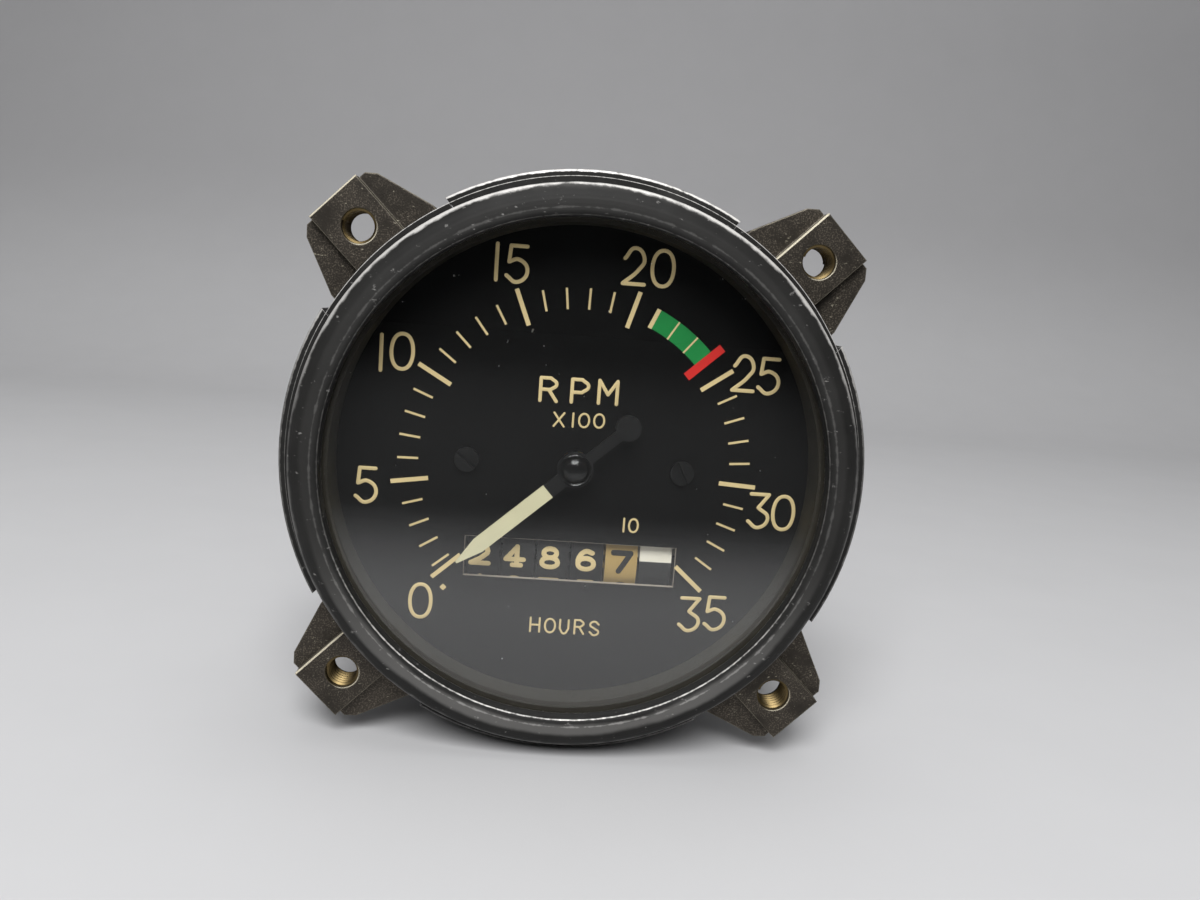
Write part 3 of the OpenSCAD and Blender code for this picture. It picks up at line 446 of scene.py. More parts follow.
def bronze_lugs(name, colours):
    """Dark bronze of the mounting ring, mottled, rubbed bright along its edges, with a painted highlight on
    the front edges that face up and to the left, and dull in its holes.
    """
    finish = Finish(name, fine=4600.0, slow=260.0)
    scuffs = finish.group("scuffs", Scale=1500.0, Amount=0.42)["Mask"]
    edges = finish.group("edge_wear", Radius=0.4 * MM, Scale=500.0, Amount=0.78)["Mask"]
    patches = finish.ramp(finish.tone, 0.34, 0.54)
    mottle = finish.times(finish.ramp(finish.height, 0.5, 0.62), patches)
    mottled = finish.mix(mottle, finish.toned(colours.bronze, 0.35, 1.7), shade(colours.bronze, 3.0))
    scuffed = finish.mix(scuffs, mottled, shade(colours.bronze_worn, 0.4))
    rubbed = finish.mix(finish.times(edges, 0.3), scuffed, colours.bronze_worn)
    place = finish.split()
    squares = []
    for label in ("X", "Z"):
        away = finish.minus(finish.math("ABSOLUTE", place[label]), LUG_HOLE)
        squares.append(finish.math("POWER", away, 2.0))
    distance = finish.math("SQRT", finish.math("ADD", *squares))
    inside = finish.ramp(distance, 2.5 * MM, 2.36 * MM)
    # Painted highlight: near the front, edges that face up and to the left get a bright, less metallic colour
    # where the light catches them
    facing = finish.dot(finish.rounded(0.42 * MM), (-DIAGONAL, 0.0, DIAGONAL))
    in_front = finish.ramp(place["Y"], 1.1 * MM, 0.5 * MM)
    painted_highlight = finish.times(finish.ramp(facing, 0.08, 0.35), in_front)
    highlighted = finish.mix(painted_highlight, rubbed, shade(colours.bronze_worn, 1.2))
    hole_brown = (0.05, 0.038, 0.02, 1.0)
    finish.give(Base_Color=finish.mix(inside, highlighted, hole_brown), Metallic=finish.span(painted_highlight, 0.7, 0.1))
    finish.give(Roughness=finish.span(finish.height, 0.32, 0.6))
    finish.bump(0.5, 0.05 * MM, 0.3 * MM)


def pointer_paint(name, colours, hardware):
    """Cream paint on the pointer's blade and black on its centre and tail."""
    finish = Finish(name, fine=2200.0, slow=200.0, rough=(0.45, 0.65))
    place = finish.split()
    rest = hardware.pointer_rest
    along_x = finish.times(place["X"], math.sin(rest))
    along = finish.math("ADD", along_x, finish.times(place["Z"], math.cos(rest)))
    start = hardware.cream_start
    blade = finish.ramp(along, start - 0.05 * MM, start + 0.05 * MM)
    tail_black = (0.004, 0.004, 0.004, 1.0)
    painted = finish.mix(blade, tail_black, finish.toned(colours.pointer, 0.88, 1.08))
    finish.give(Base_Color=painted, Specular_IOR_Level=0.2)
    finish.bump(0.1, 0.015 * MM)


def indicator_paint(name, colours):
    """The indicator drum: white over half its turn and black over the other half."""
    finish = Finish(name, fine=2600.0, slow=300.0, rough=(0.5, 0.7))
    low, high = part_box("indicator_drum")
    axis = (low + high) / 2
    tilt = math.radians(2.5)
    place = finish.split()
    forward = finish.minus(axis.y, place["Y"])
    upward = finish.minus(place["Z"], axis.z)
    line = finish.minus(upward, finish.times(forward, math.tan(tilt)))
    white = finish.ramp(line, -0.03 * MM, 0.03 * MM)
    finish.give(Base_Color=finish.mix(white, colours.drum_black, finish.toned(colours.drum_white, 0.85, 1.1)))
    finish.bump(0.1, 0.015 * MM)


def clear_glass(name):
    """Clear cover glass with a few specks of dust."""
    finish = Finish(name)
    finish.give(Base_Color=(0.97, 0.985, 0.98, 1.0), Transmission_Weight=1.0, IOR=1.65)
    specks = finish.ramp(finish.noise(finish.place(), 1300.0, detail=1.0), 0.8, 0.84)
    finish.give(Roughness=finish.times(specks, 0.5))


def jewel(name):
    """Polished red bearing stone."""
    finish = Finish(name, fine=1500.0, slow=500.0)
    toned = finish.mix(finish.tone, (0.35, 0.015, 0.03, 1.0), (0.6, 0.03, 0.06, 1.0))
    finish.give(Base_Color=toned, Roughness=0.12)


def make_finishes(colours, hardware):
    """All finishes, one for each slot of the record and one for each print colour."""
    make_edge_wear()
    make_scuffs()
    make_grain()
    make_ring_wear()
    case_paint("case_black", colours)
    bezel_paint("bezel_black", colours)
    bronze_lugs("lug_bronze", colours)
    clear_glass("clear_glass")
    matt_dial("dial_black", colours.dial)
    jewel("jewel_red")
    pointer_paint("pointer_cream", colours, hardware)
    indicator_paint("drum_white", colours)
    flat_paint("gasket_rubber", (0.03, 0.028, 0.026), rough=0.8)
    flat_paint("spacer_black", (0.024, 0.021, 0.015), rough=0.6)
    flat_paint("screw_black", (0.006, 0.006, 0.006), rough=0.36, spread=0.3, relief=0.04)
    flat_paint("hub_black", (0.005, 0.005, 0.005), rough=0.16, spread=0.3, relief=0.02, gloss=0.5)
    flat_paint("drum_cream", colours.drum_cream, rough=0.6)
    flat_paint("drum_black", colours.drum_black, rough=0.55)
    flat_paint("pinion_white", (0.6, 0.6, 0.58), rough=0.5)
    flat_paint("print_cream", colours.cream, rough=0.6, spread=0.14)
    flat_paint("print_green", colours.green, rough=0.55, spread=0.14)
    flat_paint("print_red", colours.red, rough=0.55, spread=0.14)
    flat_paint("print_black", (0.01, 0.01, 0.01), rough=0.55)
    flat_paint("cut_edge", (0.42, 0.37, 0.31), rough=0.5)
    bare_metal("boss_metal", (0.45, 0.45, 0.45), rough=0.36, ring_spacing=0.2 * MM)
    bare_metal("magnet_grey", (0.2, 0.2, 0.21), rough=0.45)
    bare_metal("brass", colours.brass, rough=0.32)
    bare_metal("aluminium", colours.aluminium, rough=0.4)
    bare_metal("steel", colours.steel, rough=0.33)
    bare_metal("screw_steel", shade(colours.steel, 0.42), rough=0.3)
    bare_metal("thread_bronze", (0.17, 0.125, 0.058), rough=0.4)


def link_object(name, data):
    """An object that stands in the scene."""
    holder = bpy.data.objects.new(name, data)
    bpy.context.scene.collection.objects.link(holder)
    return holder


def mesh_object(name, shape, finish):
    """An object made of a bmesh, smooth and in one finish."""
    bmesh.ops.recalc_face_normals(shape, faces=shape.faces)
    mesh = bpy.data.meshes.new(name)
    shape.to_mesh(mesh)
    shape.free()
    mesh.shade_smooth()
    mesh.materials.append(MATERIALS[finish])
    return link_object(name, mesh)


def place_piece(name, shape, finish, body, slot, *hidden, crease=35.0):
    """Makes a bmesh, drawn with Y up and Z forward, a piece that rides on a body and may replace nodes."""
    bmesh.ops.remove_doubles(shape, verts=shape.verts, dist=1e-8)
    bmesh.ops.transform(shape, matrix=FACE, verts=shape.verts)
    piece = mesh_object(name, shape, finish)
    piece.data.set_sharp_from_angle(angle=math.radians(crease))
    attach(piece, body)
    if hidden:
        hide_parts(*hidden)


def spin_profile(shape, points, steps):
    """Turns a closed outline of (radius, level) points about the instrument's axis."""
    spots = [shape.verts.new((radius, 0.0, level)) for radius, level in points]
    edges = [shape.edges.new((spots[i - 1], spots[i])) for i in range(len(spots))]
    outline = spots + edges
    bmesh.ops.spin(
        shape, geom=outline, axis=(0, 0, 1), cent=(0, 0, 0), angle=WHOLE_TURN, steps=steps, use_merge=True
    )
    bmesh.ops.remove_doubles(shape, verts=shape.verts, dist=1e-8)


def sweep_face(shape, corners, axis, turn, steps, climb=0.0):
    """Sweeps a face about the instrument's axis, with a climb at each step, and closes its ends."""
    spots = [shape.verts.new(corner) for corner in corners]
    face = shape.faces.new(spots)
    geom = [face, *face.edges, *spots]
    rise = (0, 0, climb)
    bmesh.ops.spin(shape, geom=geom, axis=axis, cent=(0, 0, 0), dvec=rise, angle=turn, steps=steps)
    bmesh.ops.holes_fill(shape, edges=[edge for edge in shape.edges if edge.is_boundary])


def wind_thread(shape, profile, run, pitch, steps_per_turn):
    """Winds a ridge of (radius, level) corners along the instrument's axis."""
    turns = run / pitch
    steps = int(turns * steps_per_turn)
    corners = [(radius, 0.0, level) for radius, level in profile]
    sweep_face(shape, corners, (0, 0, 1), WHOLE_TURN * turns, steps, run / steps)


def add_part(shape, part, matrix=Matrix()):
    """Adds a finished bmesh to another one, moved by a matrix."""
    bmesh.ops.transform(part, matrix=matrix, verts=part.verts)
    mesh = bpy.data.meshes.new("part")
    part.to_mesh(mesh)
    part.free()
    shape.from_mesh(mesh)
    bpy.data.meshes.remove(mesh)


def add_bar(shape, inner, outer, width, turn, level, thickness):
    """A flat bar along the ray at a clockwise angle from straight up."""
    size = Matrix.Diagonal((width, outer - inner, thickness, 1))
    shift = Matrix.Translation((0, (inner + outer) / 2, level + thickness / 2))
    matrix = Matrix.Rotation(-turn, 4, "Z") @ shift @ size
    bmesh.ops.create_cube(shape, size=1.0, matrix=matrix)


def add_band(shape, inner, outer, start, end, level, thickness):
    """A flat curved band between two clockwise angles."""
    top = level + thickness
    outline = ((inner, level), (outer, level), (outer, top), (inner, top))
    corners = [(radius * math.sin(start), radius * math.cos(start), z) for radius, z in outline]
    sweep_face(shape, corners, (0, 0, -1), end - start, steps=24)


def add_cylinder(shape, radius, depth, segments, matrix):
    """A closed cylinder about the middle of a matrix."""
    bmesh.ops.create_cone(
        shape, cap_ends=True, segments=segments, radius1=radius, radius2=radius, depth=depth, matrix=matrix
    )


ZERO = (("loop", ((0, 0.5), (0.5, 0), (0, -0.5), (-0.5, 0))),)
GLYPHS = {
    "0": ZERO,
    "O": ZERO,
    "1": (("line", ((0, 0.5), (0, -0.5))),),
    "2": (
        ("curve", ((-0.46, 0.2), (0, 0.5), (0.44, 0.2), (0.2, -0.1), (-0.5, -0.5))),
        ("line", ((-0.5, -0.5), (0.5, -0.5))),
    ),
    "3": (
        ("line", ((-0.45, 0.5), (0.42, 0.5), (-0.05, 0.1))),
        ("curve", ((-0.05, 0.1), (0.45, -0.2), (0, -0.5), (-0.5, -0.32))),
    ),
    "5": (
        ("line", ((0.42, 0.5), (-0.32, 0.5), (-0.38, 0.05))),
        ("curve", ((-0.38, 0.05), (0.05, 0.13), (0.48, -0.17), (0.02, -0.5), (-0.48, -0.33))),
    ),
    "R": (
        ("line", ((-0.45, -0.5), (-0.45, 0.5), (0.1, 0.5))),
        ("curve", ((0.1, 0.5), (0.42, 0.25), (0.1, 0))),
        ("line", ((0.1, 0), (-0.45, 0))),
        ("line", ((0, 0), (0.45, -0.5))),
    ),
    "P": (
        ("line", ((-0.45, -0.5), (-0.45, 0.5), (0.1, 0.5))),
        ("curve", ((0.1, 0.5), (0.45, 0.22), (0.1, -0.06))),
        ("line", ((0.1, -0.06), (-0.45, -0.06))),
    ),
    "M": (("line", ((-0.5, -0.5), (-0.5, 0.5), (0, -0.1), (0.5, 0.5), (0.5, -0.5))),),
    "X": (("line", ((-0.5, 0.5), (0.5, -0.5))), ("line", ((-0.5, -0.5), (0.5, 0.5)))),
    "H": (
        ("line", ((-0.45, 0.5), (-0.45, -0.5))),
        ("line", ((0.45, 0.5), (0.45, -0.5))),
        ("line", ((-0.45, 0), (0.45, 0))),
    ),
    "U": (
        ("line", ((-0.42, 0.5), (-0.42, -0.15))),
        ("curve", ((-0.42, -0.15), (0, -0.5), (0.42, -0.15))),
        ("line", ((0.42, -0.15), (0.42, 0.5))),
    ),
    "S": (
        ("curve", ((0.42, 0.3), (0, 0.5), (-0.42, 0.26), (0, 0), (0.42, -0.26), (0, -0.5), (-0.44, -0.28))),
    ),
}
SIX_BOWL = ((0, 0.1), (0.45, -0.2), (0, -0.5), (-0.45, -0.2))
SIX_STEM = ((0.34, 0.4), (-0.05, 0.47), (-0.42, 0.1), (-0.45, -0.2))
WHEEL_GLYPHS = {
    "0": ZERO,
    "1": (("line", ((-0.22, 0.28), (0.05, 0.5), (0.05, -0.5))),),
    "2": GLYPHS["2"],
    "3": (
        ("curve", ((-0.42, 0.3), (0, 0.5), (0.4, 0.26), (0, 0.04))),
        ("curve", ((0, 0.04), (0.46, -0.22), (0, -0.5), (-0.46, -0.28))),
    ),
    "4": (
        ("line", ((0.12, -0.5), (0.12, 0.5), (-0.5, -0.18), (0.5, -0.18))),
        ("line", ((-0.12, -0.5), (0.36, -0.5))),
    ),
    "5": GLYPHS["5"],
    "6": (("loop", SIX_BOWL), ("curve", SIX_STEM)),
    "7": (("line", ((-0.5, 0.5), (0.48, 0.5), (-0.15, -0.5))),),
    "8": (
        ("loop", ((0, 0.5), (0.36, 0.26), (0, 0.02), (-0.36, 0.26))),
        ("loop", ((0, 0.02), (0.45, -0.24), (0, -0.5), (-0.45, -0.24))),
    ),
    "9": (
        ("loop", tuple((-x, -y) for x, y in SIX_BOWL)),
        ("curve", tuple((-x, -y) for x, y in SIX_STEM)),
    ),
}


def stroke_spline(curve, kind, spots):
    """One stroke of a glyph, as straight pieces or as a smooth run."""
    if kind == "line":
        pieces = 8
        for first, second in zip(spots, spots[1:]):
            spline = curve.splines.new("POLY")
            spline.points.add(pieces)
            for index, point in enumerate(spline.points):
                spot = Vector(first).lerp(Vector(second), index / pieces)
                point.co = (*spot, 0, 1)
        return
    spline = curve.splines.new("BEZIER")
    spline.bezier_points.add(len(spots) - 1)
    for point, spot in zip(spline.bezier_points, spots):
        point.co = (*spot, 0)
        point.handle_left_type = "AUTO"
        point.handle_right_type = "AUTO"
    spline.use_cyclic_u = kind == "loop"


def lettering(letters, width, height, stroke, thickness, level=0.0, glyphs=GLYPHS):
    """A bmesh of letters at (glyph, x, y) places, drawn flat on a level with round ends."""
    curve = bpy.data.curves.new("strokes", "CURVE")
    curve.dimensions = "3D"
    curve.bevel_depth = stroke / 2
    curve.bevel_resolution = 2
    curve.use_fill_caps = True
    curve.resolution_u = 8
    ends = []
    for glyph, x, y in letters:
        for kind, points in glyphs[glyph]:
            spots = [(x + px * width, y + py * height) for px, py in points]
            stroke_spline(curve, kind, spots)
            if kind == "line":
                ends.extend(spots)
            if kind == "curve":
                ends.extend((spots[0], spots[-1]))
    holder = link_object("strokes", curve)
    bpy.context.view_layer.update()
    graph = bpy.context.evaluated_depsgraph_get()
    mesh = bpy.data.meshes.new_from_object(holder.evaluated_get(graph))
    shape = bmesh.new()
    shape.from_mesh(mesh)
    bpy.data.objects.remove(holder)
    bpy.data.curves.remove(curve)
    bpy.data.meshes.remove(mesh)
    for x, y in sorted(set(ends)):
        spot = Matrix.Translation((x, y, 0))
        bmesh.ops.create_uvsphere(shape, u_segments=12, v_segments=6, radius=stroke / 2, matrix=spot)
    flat = Matrix.Diagonal((1, 1, 2 * thickness / stroke, 1))
    bmesh.ops.transform(shape, matrix=Matrix.Translation((0, 0, level)) @ flat, verts=shape.verts)
    return shape


def add_screw_head(shape, radius, height, slot_width, slot_depth, matrix):
    """A slotted cheese head standing on level zero, with a rounded top edge."""
    segments = 40
    rounding = radius * 0.12
    base = height - slot_depth
    sunk = base * 0.9
    tall = height - sunk
    add_cylinder(shape, radius, base, segments, matrix @ Matrix.Translation((0, 0, base / 2)))
    for side in (-1, 1):
        half = bmesh.new()
        add_cylinder(half, radius, tall, segments, Matrix.Translation((0, 0, sunk + tall / 2)))
        geom = half.verts[:] + half.edges[:] + half.faces[:]
        spot = (0, side * slot_width / 2, 0)
        bmesh.ops.bisect_plane(half, geom=geom, plane_co=spot, plane_no=(0, -side, 0), clear_outer=True)
        bmesh.ops.holes_fill(half, edges=half.edges)
        top = [e for e in half.edges if all(v.co.z > height - 1e-7 for v in e.verts)]
        bmesh.ops.bevel(
            half, geom=top, offset=rounding, affect="EDGES", segments=3, profile=0.5, material=-1,
            clamp_overlap=True
        )
        add_part(shape, half, matrix)


def add_screw(shape, box, level, turn, slot_width, slot_depth, shank_radius, backward=False):
    """A slotted screw in the box of a CAD screw, its head standing on a level."""
    low, high = box
    middle = (low + high) / 2
    head = -low.y - level
    shank = high.y + level
    spot = Matrix.Translation((middle.x, middle.z, level))
    if backward:
        head, shank = shank, head
        spot = spot @ Matrix.Rotation(math.pi, 4, "X")
    matrix = spot @ Matrix.Rotation(math.radians(turn), 4, "Z")
    add_screw_head(shape, (high.x - low.x) / 2, head, slot_width, slot_depth, matrix)
    sunk = spot @ Matrix.Translation((0, 0, -shank / 2))
    add_cylinder(shape, shank_radius, shank, segments=24, matrix=sunk)


def solids_of(node):
    """Lowest and highest corner of each separate solid of a CAD node."""
    copy = bmesh.new()
    copy.from_mesh(NODES[node].data)
    bmesh.ops.remove_doubles(copy, verts=copy.verts, dist=1e-7)
    left = set(copy.verts)
    boxes = []
    while left:
        reach = [left.pop()]
        found = []
        while reach:
            vert = reach.pop()
            found.append(vert.co.copy())
            near = left & {edge.other_vert(vert) for edge in vert.link_edges}
            left -= near
            reach.extend(near)
        low = Vector([min(values) for values in zip(*found)])
        high = Vector([max(values) for values in zip(*found)])
        boxes.append((low, high))
    copy.free()
    return sorted(boxes, key=lambda box: (round(box[0].x, 5), round(box[0].z, 5)))


class TACH_OT_finishes(Operator):
    """Gives every CAD piece its finish"""

    bl_idname = "tach.finishes"
    bl_label = "Finishes"

    def execute(self, context):
        make_finishes(context.scene.tach_colours, context.scene.tach_hardware)
        for name, node in NODES.items():
            node.data.materials.clear()
            node.data.materials.append(MATERIALS[SLOT_OF[name]])
        NODES["cover_glass"].visible_shadow = False
        NODES["cover_glass"].visible_diffuse = False
        return {"FINISHED"}


class TACH_OT_dial_marks(Operator):
    """Prints the scale's marks, the green band and the red limit bar on the dial"""

    bl_idname = "tach.dial_marks"
    bl_label = "Dial marks"

    last_step = 35
    band_step = 21
    limit_step = 24
    band_edge_width = 0.6 * MM
    band_mark_width = 0.25 * MM

    def execute(self, context):
        dial = context.scene.tach_dial
        level = front_level("dial_plate")
        thick = dial.print_thickness

        def at(step):
            return dial.zero_angle + step * dial.step_angle

        marks = bmesh.new()
        major = (dial.major_inner, dial.major_outer, dial.major_width)
        add_bar(marks, *major, context.scene.tach_hardware.pointer_rest, level, thick)
        near = dial.dot_radius - dial.dot_size / 2
        add_bar(marks, near, near + dial.dot_size, dial.dot_size, at(0), level, thick)
        widths = {self.band_step: self.band_edge_width}
        for step in range(self.band_step + 1, self.limit_step):
            widths[step] = self.band_mark_width
        for step in range(1, self.last_step + 1):
            on_band = self.band_step < step < self.limit_step
            if step % 5 == 0:
                add_bar(marks, *major, at(step), level, thick)
            elif step != self.limit_step:
                width = widths.get(step, dial.minor_width)
                lift = thick if on_band else 0.0
                add_bar(marks, dial.minor_inner, dial.minor_outer, width, at(step), level + lift, thick)
        place_piece("dial_scale_marks", marks, "print_cream", "case", "dial_black")
        band = bmesh.new()
        inner = dial.minor_inner + 0.05 * MM
        start = at(self.band_step) + self.band_edge_width / 2 / inner
        add_band(band, inner, dial.minor_outer, start, at(self.limit_step), level, thick)
        place_piece("dial_green_band", band, "print_green", "case", "dial_black")
        limit = bmesh.new()
        turn = at(self.limit_step)
        add_bar(limit, dial.limit_inner, dial.limit_outer, dial.limit_width, turn, level, 2 * thick)
        place_piece("dial_red_limit", limit, "print_red", "case", "dial_black")
        return {"FINISHED"}


class TACH_OT_dial_lettering(Operator):
    """Prints the numerals and the generic legends on the dial"""

    bl_idname = "tach.dial_lettering"
    bl_label = "Dial lettering"

    # Places are in millimetres from the dial's middle
    numerals = (
        ("1", -12.97, 28.24), ("5", -10.07, 28.13), ("2", 6.4, 29.1), ("0", 10.45, 29.05),
        ("1", -28.45, 14.42), ("0", -25.5, 14.77), ("2", 23.36, 15.13), ("5", 27.04, 14.96),
        ("5", -29.8, -4.78), ("3", 27.56, -4.9), ("0", 31.17, -4.97),
        ("3", 18.71, -21.29), ("5", 22.46, -20.91), ("0", -21.23, -21.54),
    )
    unit = (("R", -4.5, 10.82), ("P", 0.0, 10.9), ("M", 4.03, 11.0))
    multiplier = (("X", -2.74, 6.6), ("1", -0.72, 6.66), ("0", 0.88, 6.7), ("0", 3.05, 6.78))
    tenths = (("1", 7.81, -8.3), ("0", 9.22, -8.3))
    hours = (
        ("H", -4.21, -24.22), ("O", -1.97, -24.24), ("U", 0.14, -24.3),
        ("R", 2.37, -24.2), ("S", 4.63, -24.3),
    )

    def execute(self, context):
        dial = context.scene.tach_dial
        level = front_level("dial_plate")
        fine = 0.3 * MM
        # A row gives the piece, its letters, their width and height, and the stroke's width
        groups = (
            ("dial_numerals", self.numerals, dial.numeral_width, dial.numeral_height, dial.numeral_stroke),
            ("dial_unit", self.unit, 2.6 * MM, 3.3 * MM, 0.5 * MM),
            ("dial_multiplier", self.multiplier, 1.45 * MM, 1.95 * MM, fine),
            ("dial_tenths", self.tenths, 1.3 * MM, 1.95 * MM, fine),
            ("dial_hours", self.hours, 1.5 * MM, 2.1 * MM, fine),
        )
        for name, letters, width, height, stroke in groups:
            placed = [(glyph, x * MM, y * MM) for glyph, x, y in letters]
            shape = lettering(placed, width, height, stroke, dial.print_thickness, level)
            place_piece(name, shape, "print_cream", "case", "dial_black")
        return {"FINISHED"}


class TACH_OT_window_edge(Operator):
    """Lines the counter window with a thin cut edge"""

    bl_idname = "tach.window_edge"
    bl_label = "Window edge"

    def execute(self, context):
        left = -15.3 * MM
        right = 15.9 * MM
        bottom = -17.35 * MM
        top = -11.25 * MM
        inset = 0.05 * MM
        wall = 0.03 * MM
        low = Vector((left + inset, bottom + inset, back_level("dial_plate")))
        high = Vector((right - inset, top - inset, front_level("dial_plate") - inset))
        matrix = Matrix.Translation((low + high) / 2) @ Matrix.Diagonal((*(high - low), 1))
        shape = bmesh.new()
        bmesh.ops.create_cube(shape, size=1.0, matrix=matrix)
        ends = [face for face in shape.faces if abs(face.normal.z) > 0.9]
        bmesh.ops.delete(shape, geom=ends, context="FACES_ONLY")
        bmesh.ops.recalc_face_normals(shape, faces=shape.faces)
        bmesh.ops.solidify(shape, geom=shape.faces[:], thickness=wall)
        place_piece("window_edge", shape, "cut_edge", "case", "aluminium")
        return {"FINISHED"}


class TACH_OT_dial_screws(Operator):
    """Makes the two slotted black screws that hold the dial"""

    bl_idname = "tach.dial_screws"
    bl_label = "Dial screws"

    slot_turns = (-37, -62)
    shank_radius = 0.8 * MM

    def execute(self, context):
        sizes = context.scene.tach_hardware
        level = front_level("dial_plate")
        shape = bmesh.new()
        for turn, box in zip(self.slot_turns, solids_of("dial_screws")):
            add_screw(shape, box, level, turn, sizes.slot_width, sizes.slot_depth, self.shank_radius)
        finish = "screw_black"
        place_piece("dial_screw_heads", shape, finish, "case", finish, "dial_screws", crease=30.0)
        return {"FINISHED"}


class TACH_OT_pointer_hub(Operator):
    """Turns the pointer's domed black hub"""

    bl_idname = "tach.pointer_hub"
    bl_label = "Pointer hub"

    # Inset from the cap's edge and rise above its underside, in millimetres
    lip = ((0.0, 0.0), (0.0, 0.2), (0.06, 0.29), (0.18, 0.33), (0.3, 0.28), (0.42, 0.16))
    rise = 1.1 * MM
    blade_thickness = 0.4 * MM
    bore = 0.83 * MM
    bush = 1.6 * MM
    dome_steps = 14

    def execute(self, context):
        low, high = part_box("pointer_hub")
        bottom = -high.y
        cap = (high.x - low.x) / 2
        cap_low = -low.y - self.rise
        blade = cap_low - self.blade_thickness
        shape = bmesh.new()
        sleeve = ((self.bore, bottom), (self.bush, bottom), (self.bush, blade), (self.bore, blade))
        spin_profile(shape, sleeve, steps=48)
        outline = [(cap - inset * MM, cap_low + rise * MM) for inset, rise in self.lip]
        groove, groove_level = outline[-1]
        top = cap_low + self.rise
        for step in range(1, self.dome_steps):
            turn = QUARTER_TURN * step / self.dome_steps
            outline.append((groove * math.cos(turn), groove_level + (top - groove_level) * math.sin(turn)))
        spin_profile(shape, [(0.0, cap_low), *outline, (0.0, top)], steps=64)
        finish = "hub_black"
        place_piece("pointer_dome", shape, finish, "indicator_pointer", finish, "pointer_hub", crease=40.0)
        return {"FINISHED"}


class TACH_OT_counter_digits(Operator):
    """Prints ten digits on each number wheel"""

    bl_idname = "tach.counter_digits"
    bl_label = "Counter digits"

    shown = (2, 4, 8, 6, 7)
    print_shift = (-0.55 * MM, -0.5 * MM, -0.4 * MM, -0.14 * MM, 0.1 * MM)
    wheel_width = 4.75 * MM
    tenths_wheel = 5
    tenths_weight = 1.15

    def execute(self, context):
        dial = context.scene.tach_dial
        thick = dial.print_thickness * 0.6
        axle_low, axle_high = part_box("counter_axle")
        axis = (axle_low + axle_high) / 2
        for wheel, shown in enumerate(self.shown, 1):
            low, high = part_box("number_wheel_%d" % wheel)
            radius = axis.y - low.y
            middle = high.x - self.wheel_width / 2 + self.print_shift[wheel - 1]
            stroke = dial.digit_stroke
            finish = "print_cream"
            slot = "drum_black"
            if wheel == self.tenths_wheel:
                stroke *= self.tenths_weight
                finish = "print_black"
                slot = "drum_cream"
            shape = bmesh.new()
            for digit in range(10):
                letter = ((str(digit), 0.0, 0.0),)
                size = (dial.digit_width, dial.digit_height)
                drawn = lettering(letter, *size, stroke, thick, glyphs=WHEEL_GLYPHS)
                start = WHOLE_TURN / 10 * (digit - shown)
                for vert in drawn.verts:
                    rise = start + vert.co.y / radius
                    reach = radius + vert.co.z
                    vert.co = (middle + vert.co.x, reach * math.sin(rise), reach * math.cos(rise))
                add_part(shape, drawn, Matrix.Translation((0, axis.z, -axis.y)))
            place_piece("wheel_%d_digits" % wheel, shape, finish, "wheel_%d" % wheel, slot)
        return {"FINISHED"}


class TACH_OT_drive_boss(Operator):
    """Turns the drive boss and cuts its thread"""

    bl_idname = "tach.drive_boss"
    bl_label = "Drive boss"

    def execute(self, context):
        sizes = context.scene.tach_hardware
        low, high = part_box("drive_boss")
        flange = (high.x - low.x) / 2
        back = -high.y
        neck_front = -low.y
        neck = 9.0 * MM
        case_back = back_level("case_shell")
        flange_back = case_back - FLANGE_THICKNESS
        outer = 11.11 * MM
        root = outer - sizes.thread_depth
        bore = 7.5 * MM
        floor = back + 9.0 * MM
        seat = 5.03 * MM
        edge = 0.35 * MM
        mouth = 0.4 * MM
        shoulder = 0.2 * MM
        runout = 0.8 * MM
        taper = 0.9 * MM
        shape = bmesh.new()
        body = (
            (seat, neck_front), (neck, neck_front), (neck, case_back), (flange - edge, case_back),
            (flange, case_back - edge), (flange, flange_back + edge), (flange - edge, flange_back),
            (outer - shoulder, flange_back), (root, flange_back - runout), (root, back + taper),
            (root - taper, back), (bore + mouth, back), (bore, back + mouth), (bore, floor), (seat, floor),
        )
        spin_profile(shape, body, steps=128)
        pitch = sizes.thread_pitch
        start = back + 1.0 * MM
        run = flange_back - taper - start
        half = pitch * 0.47
        tip = pitch * 0.08
        sunk = root - 0.1 * MM
        ridge = ((sunk, start - half), (outer, start - tip), (outer, start + tip), (sunk, start + half))
        wind_thread(shape, ridge, run, pitch, steps_per_turn=56)
        finish = "boss_metal"
        place_piece("threaded_boss", shape, finish, "case", finish, "drive_boss", crease=32.0)
        return {"FINISHED"}


class TACH_OT_bezel_band(Operator):
    """Closes the bezel's rim in front of each lug with a narrow band"""

    bl_idname = "tach.bezel_band"
    bl_label = "Bezel band"

    def execute(self, context):
        inner = 39.3 * MM
        outer = 40.45 * MM
        notch = 22.5 * MM
        low = -1.45 * MM
        proud = 0.03 * MM
        half = math.asin(notch / 2 / outer)
        shape = bmesh.new()
        for middle in (45, 135, 225, 315):
            turn = math.radians(middle)
            add_band(shape, inner, outer, turn - half, turn + half, low, proud - low)
        place_piece("bezel_band", shape, "bezel_black", "case", "bezel_black")
        return {"FINISHED"}


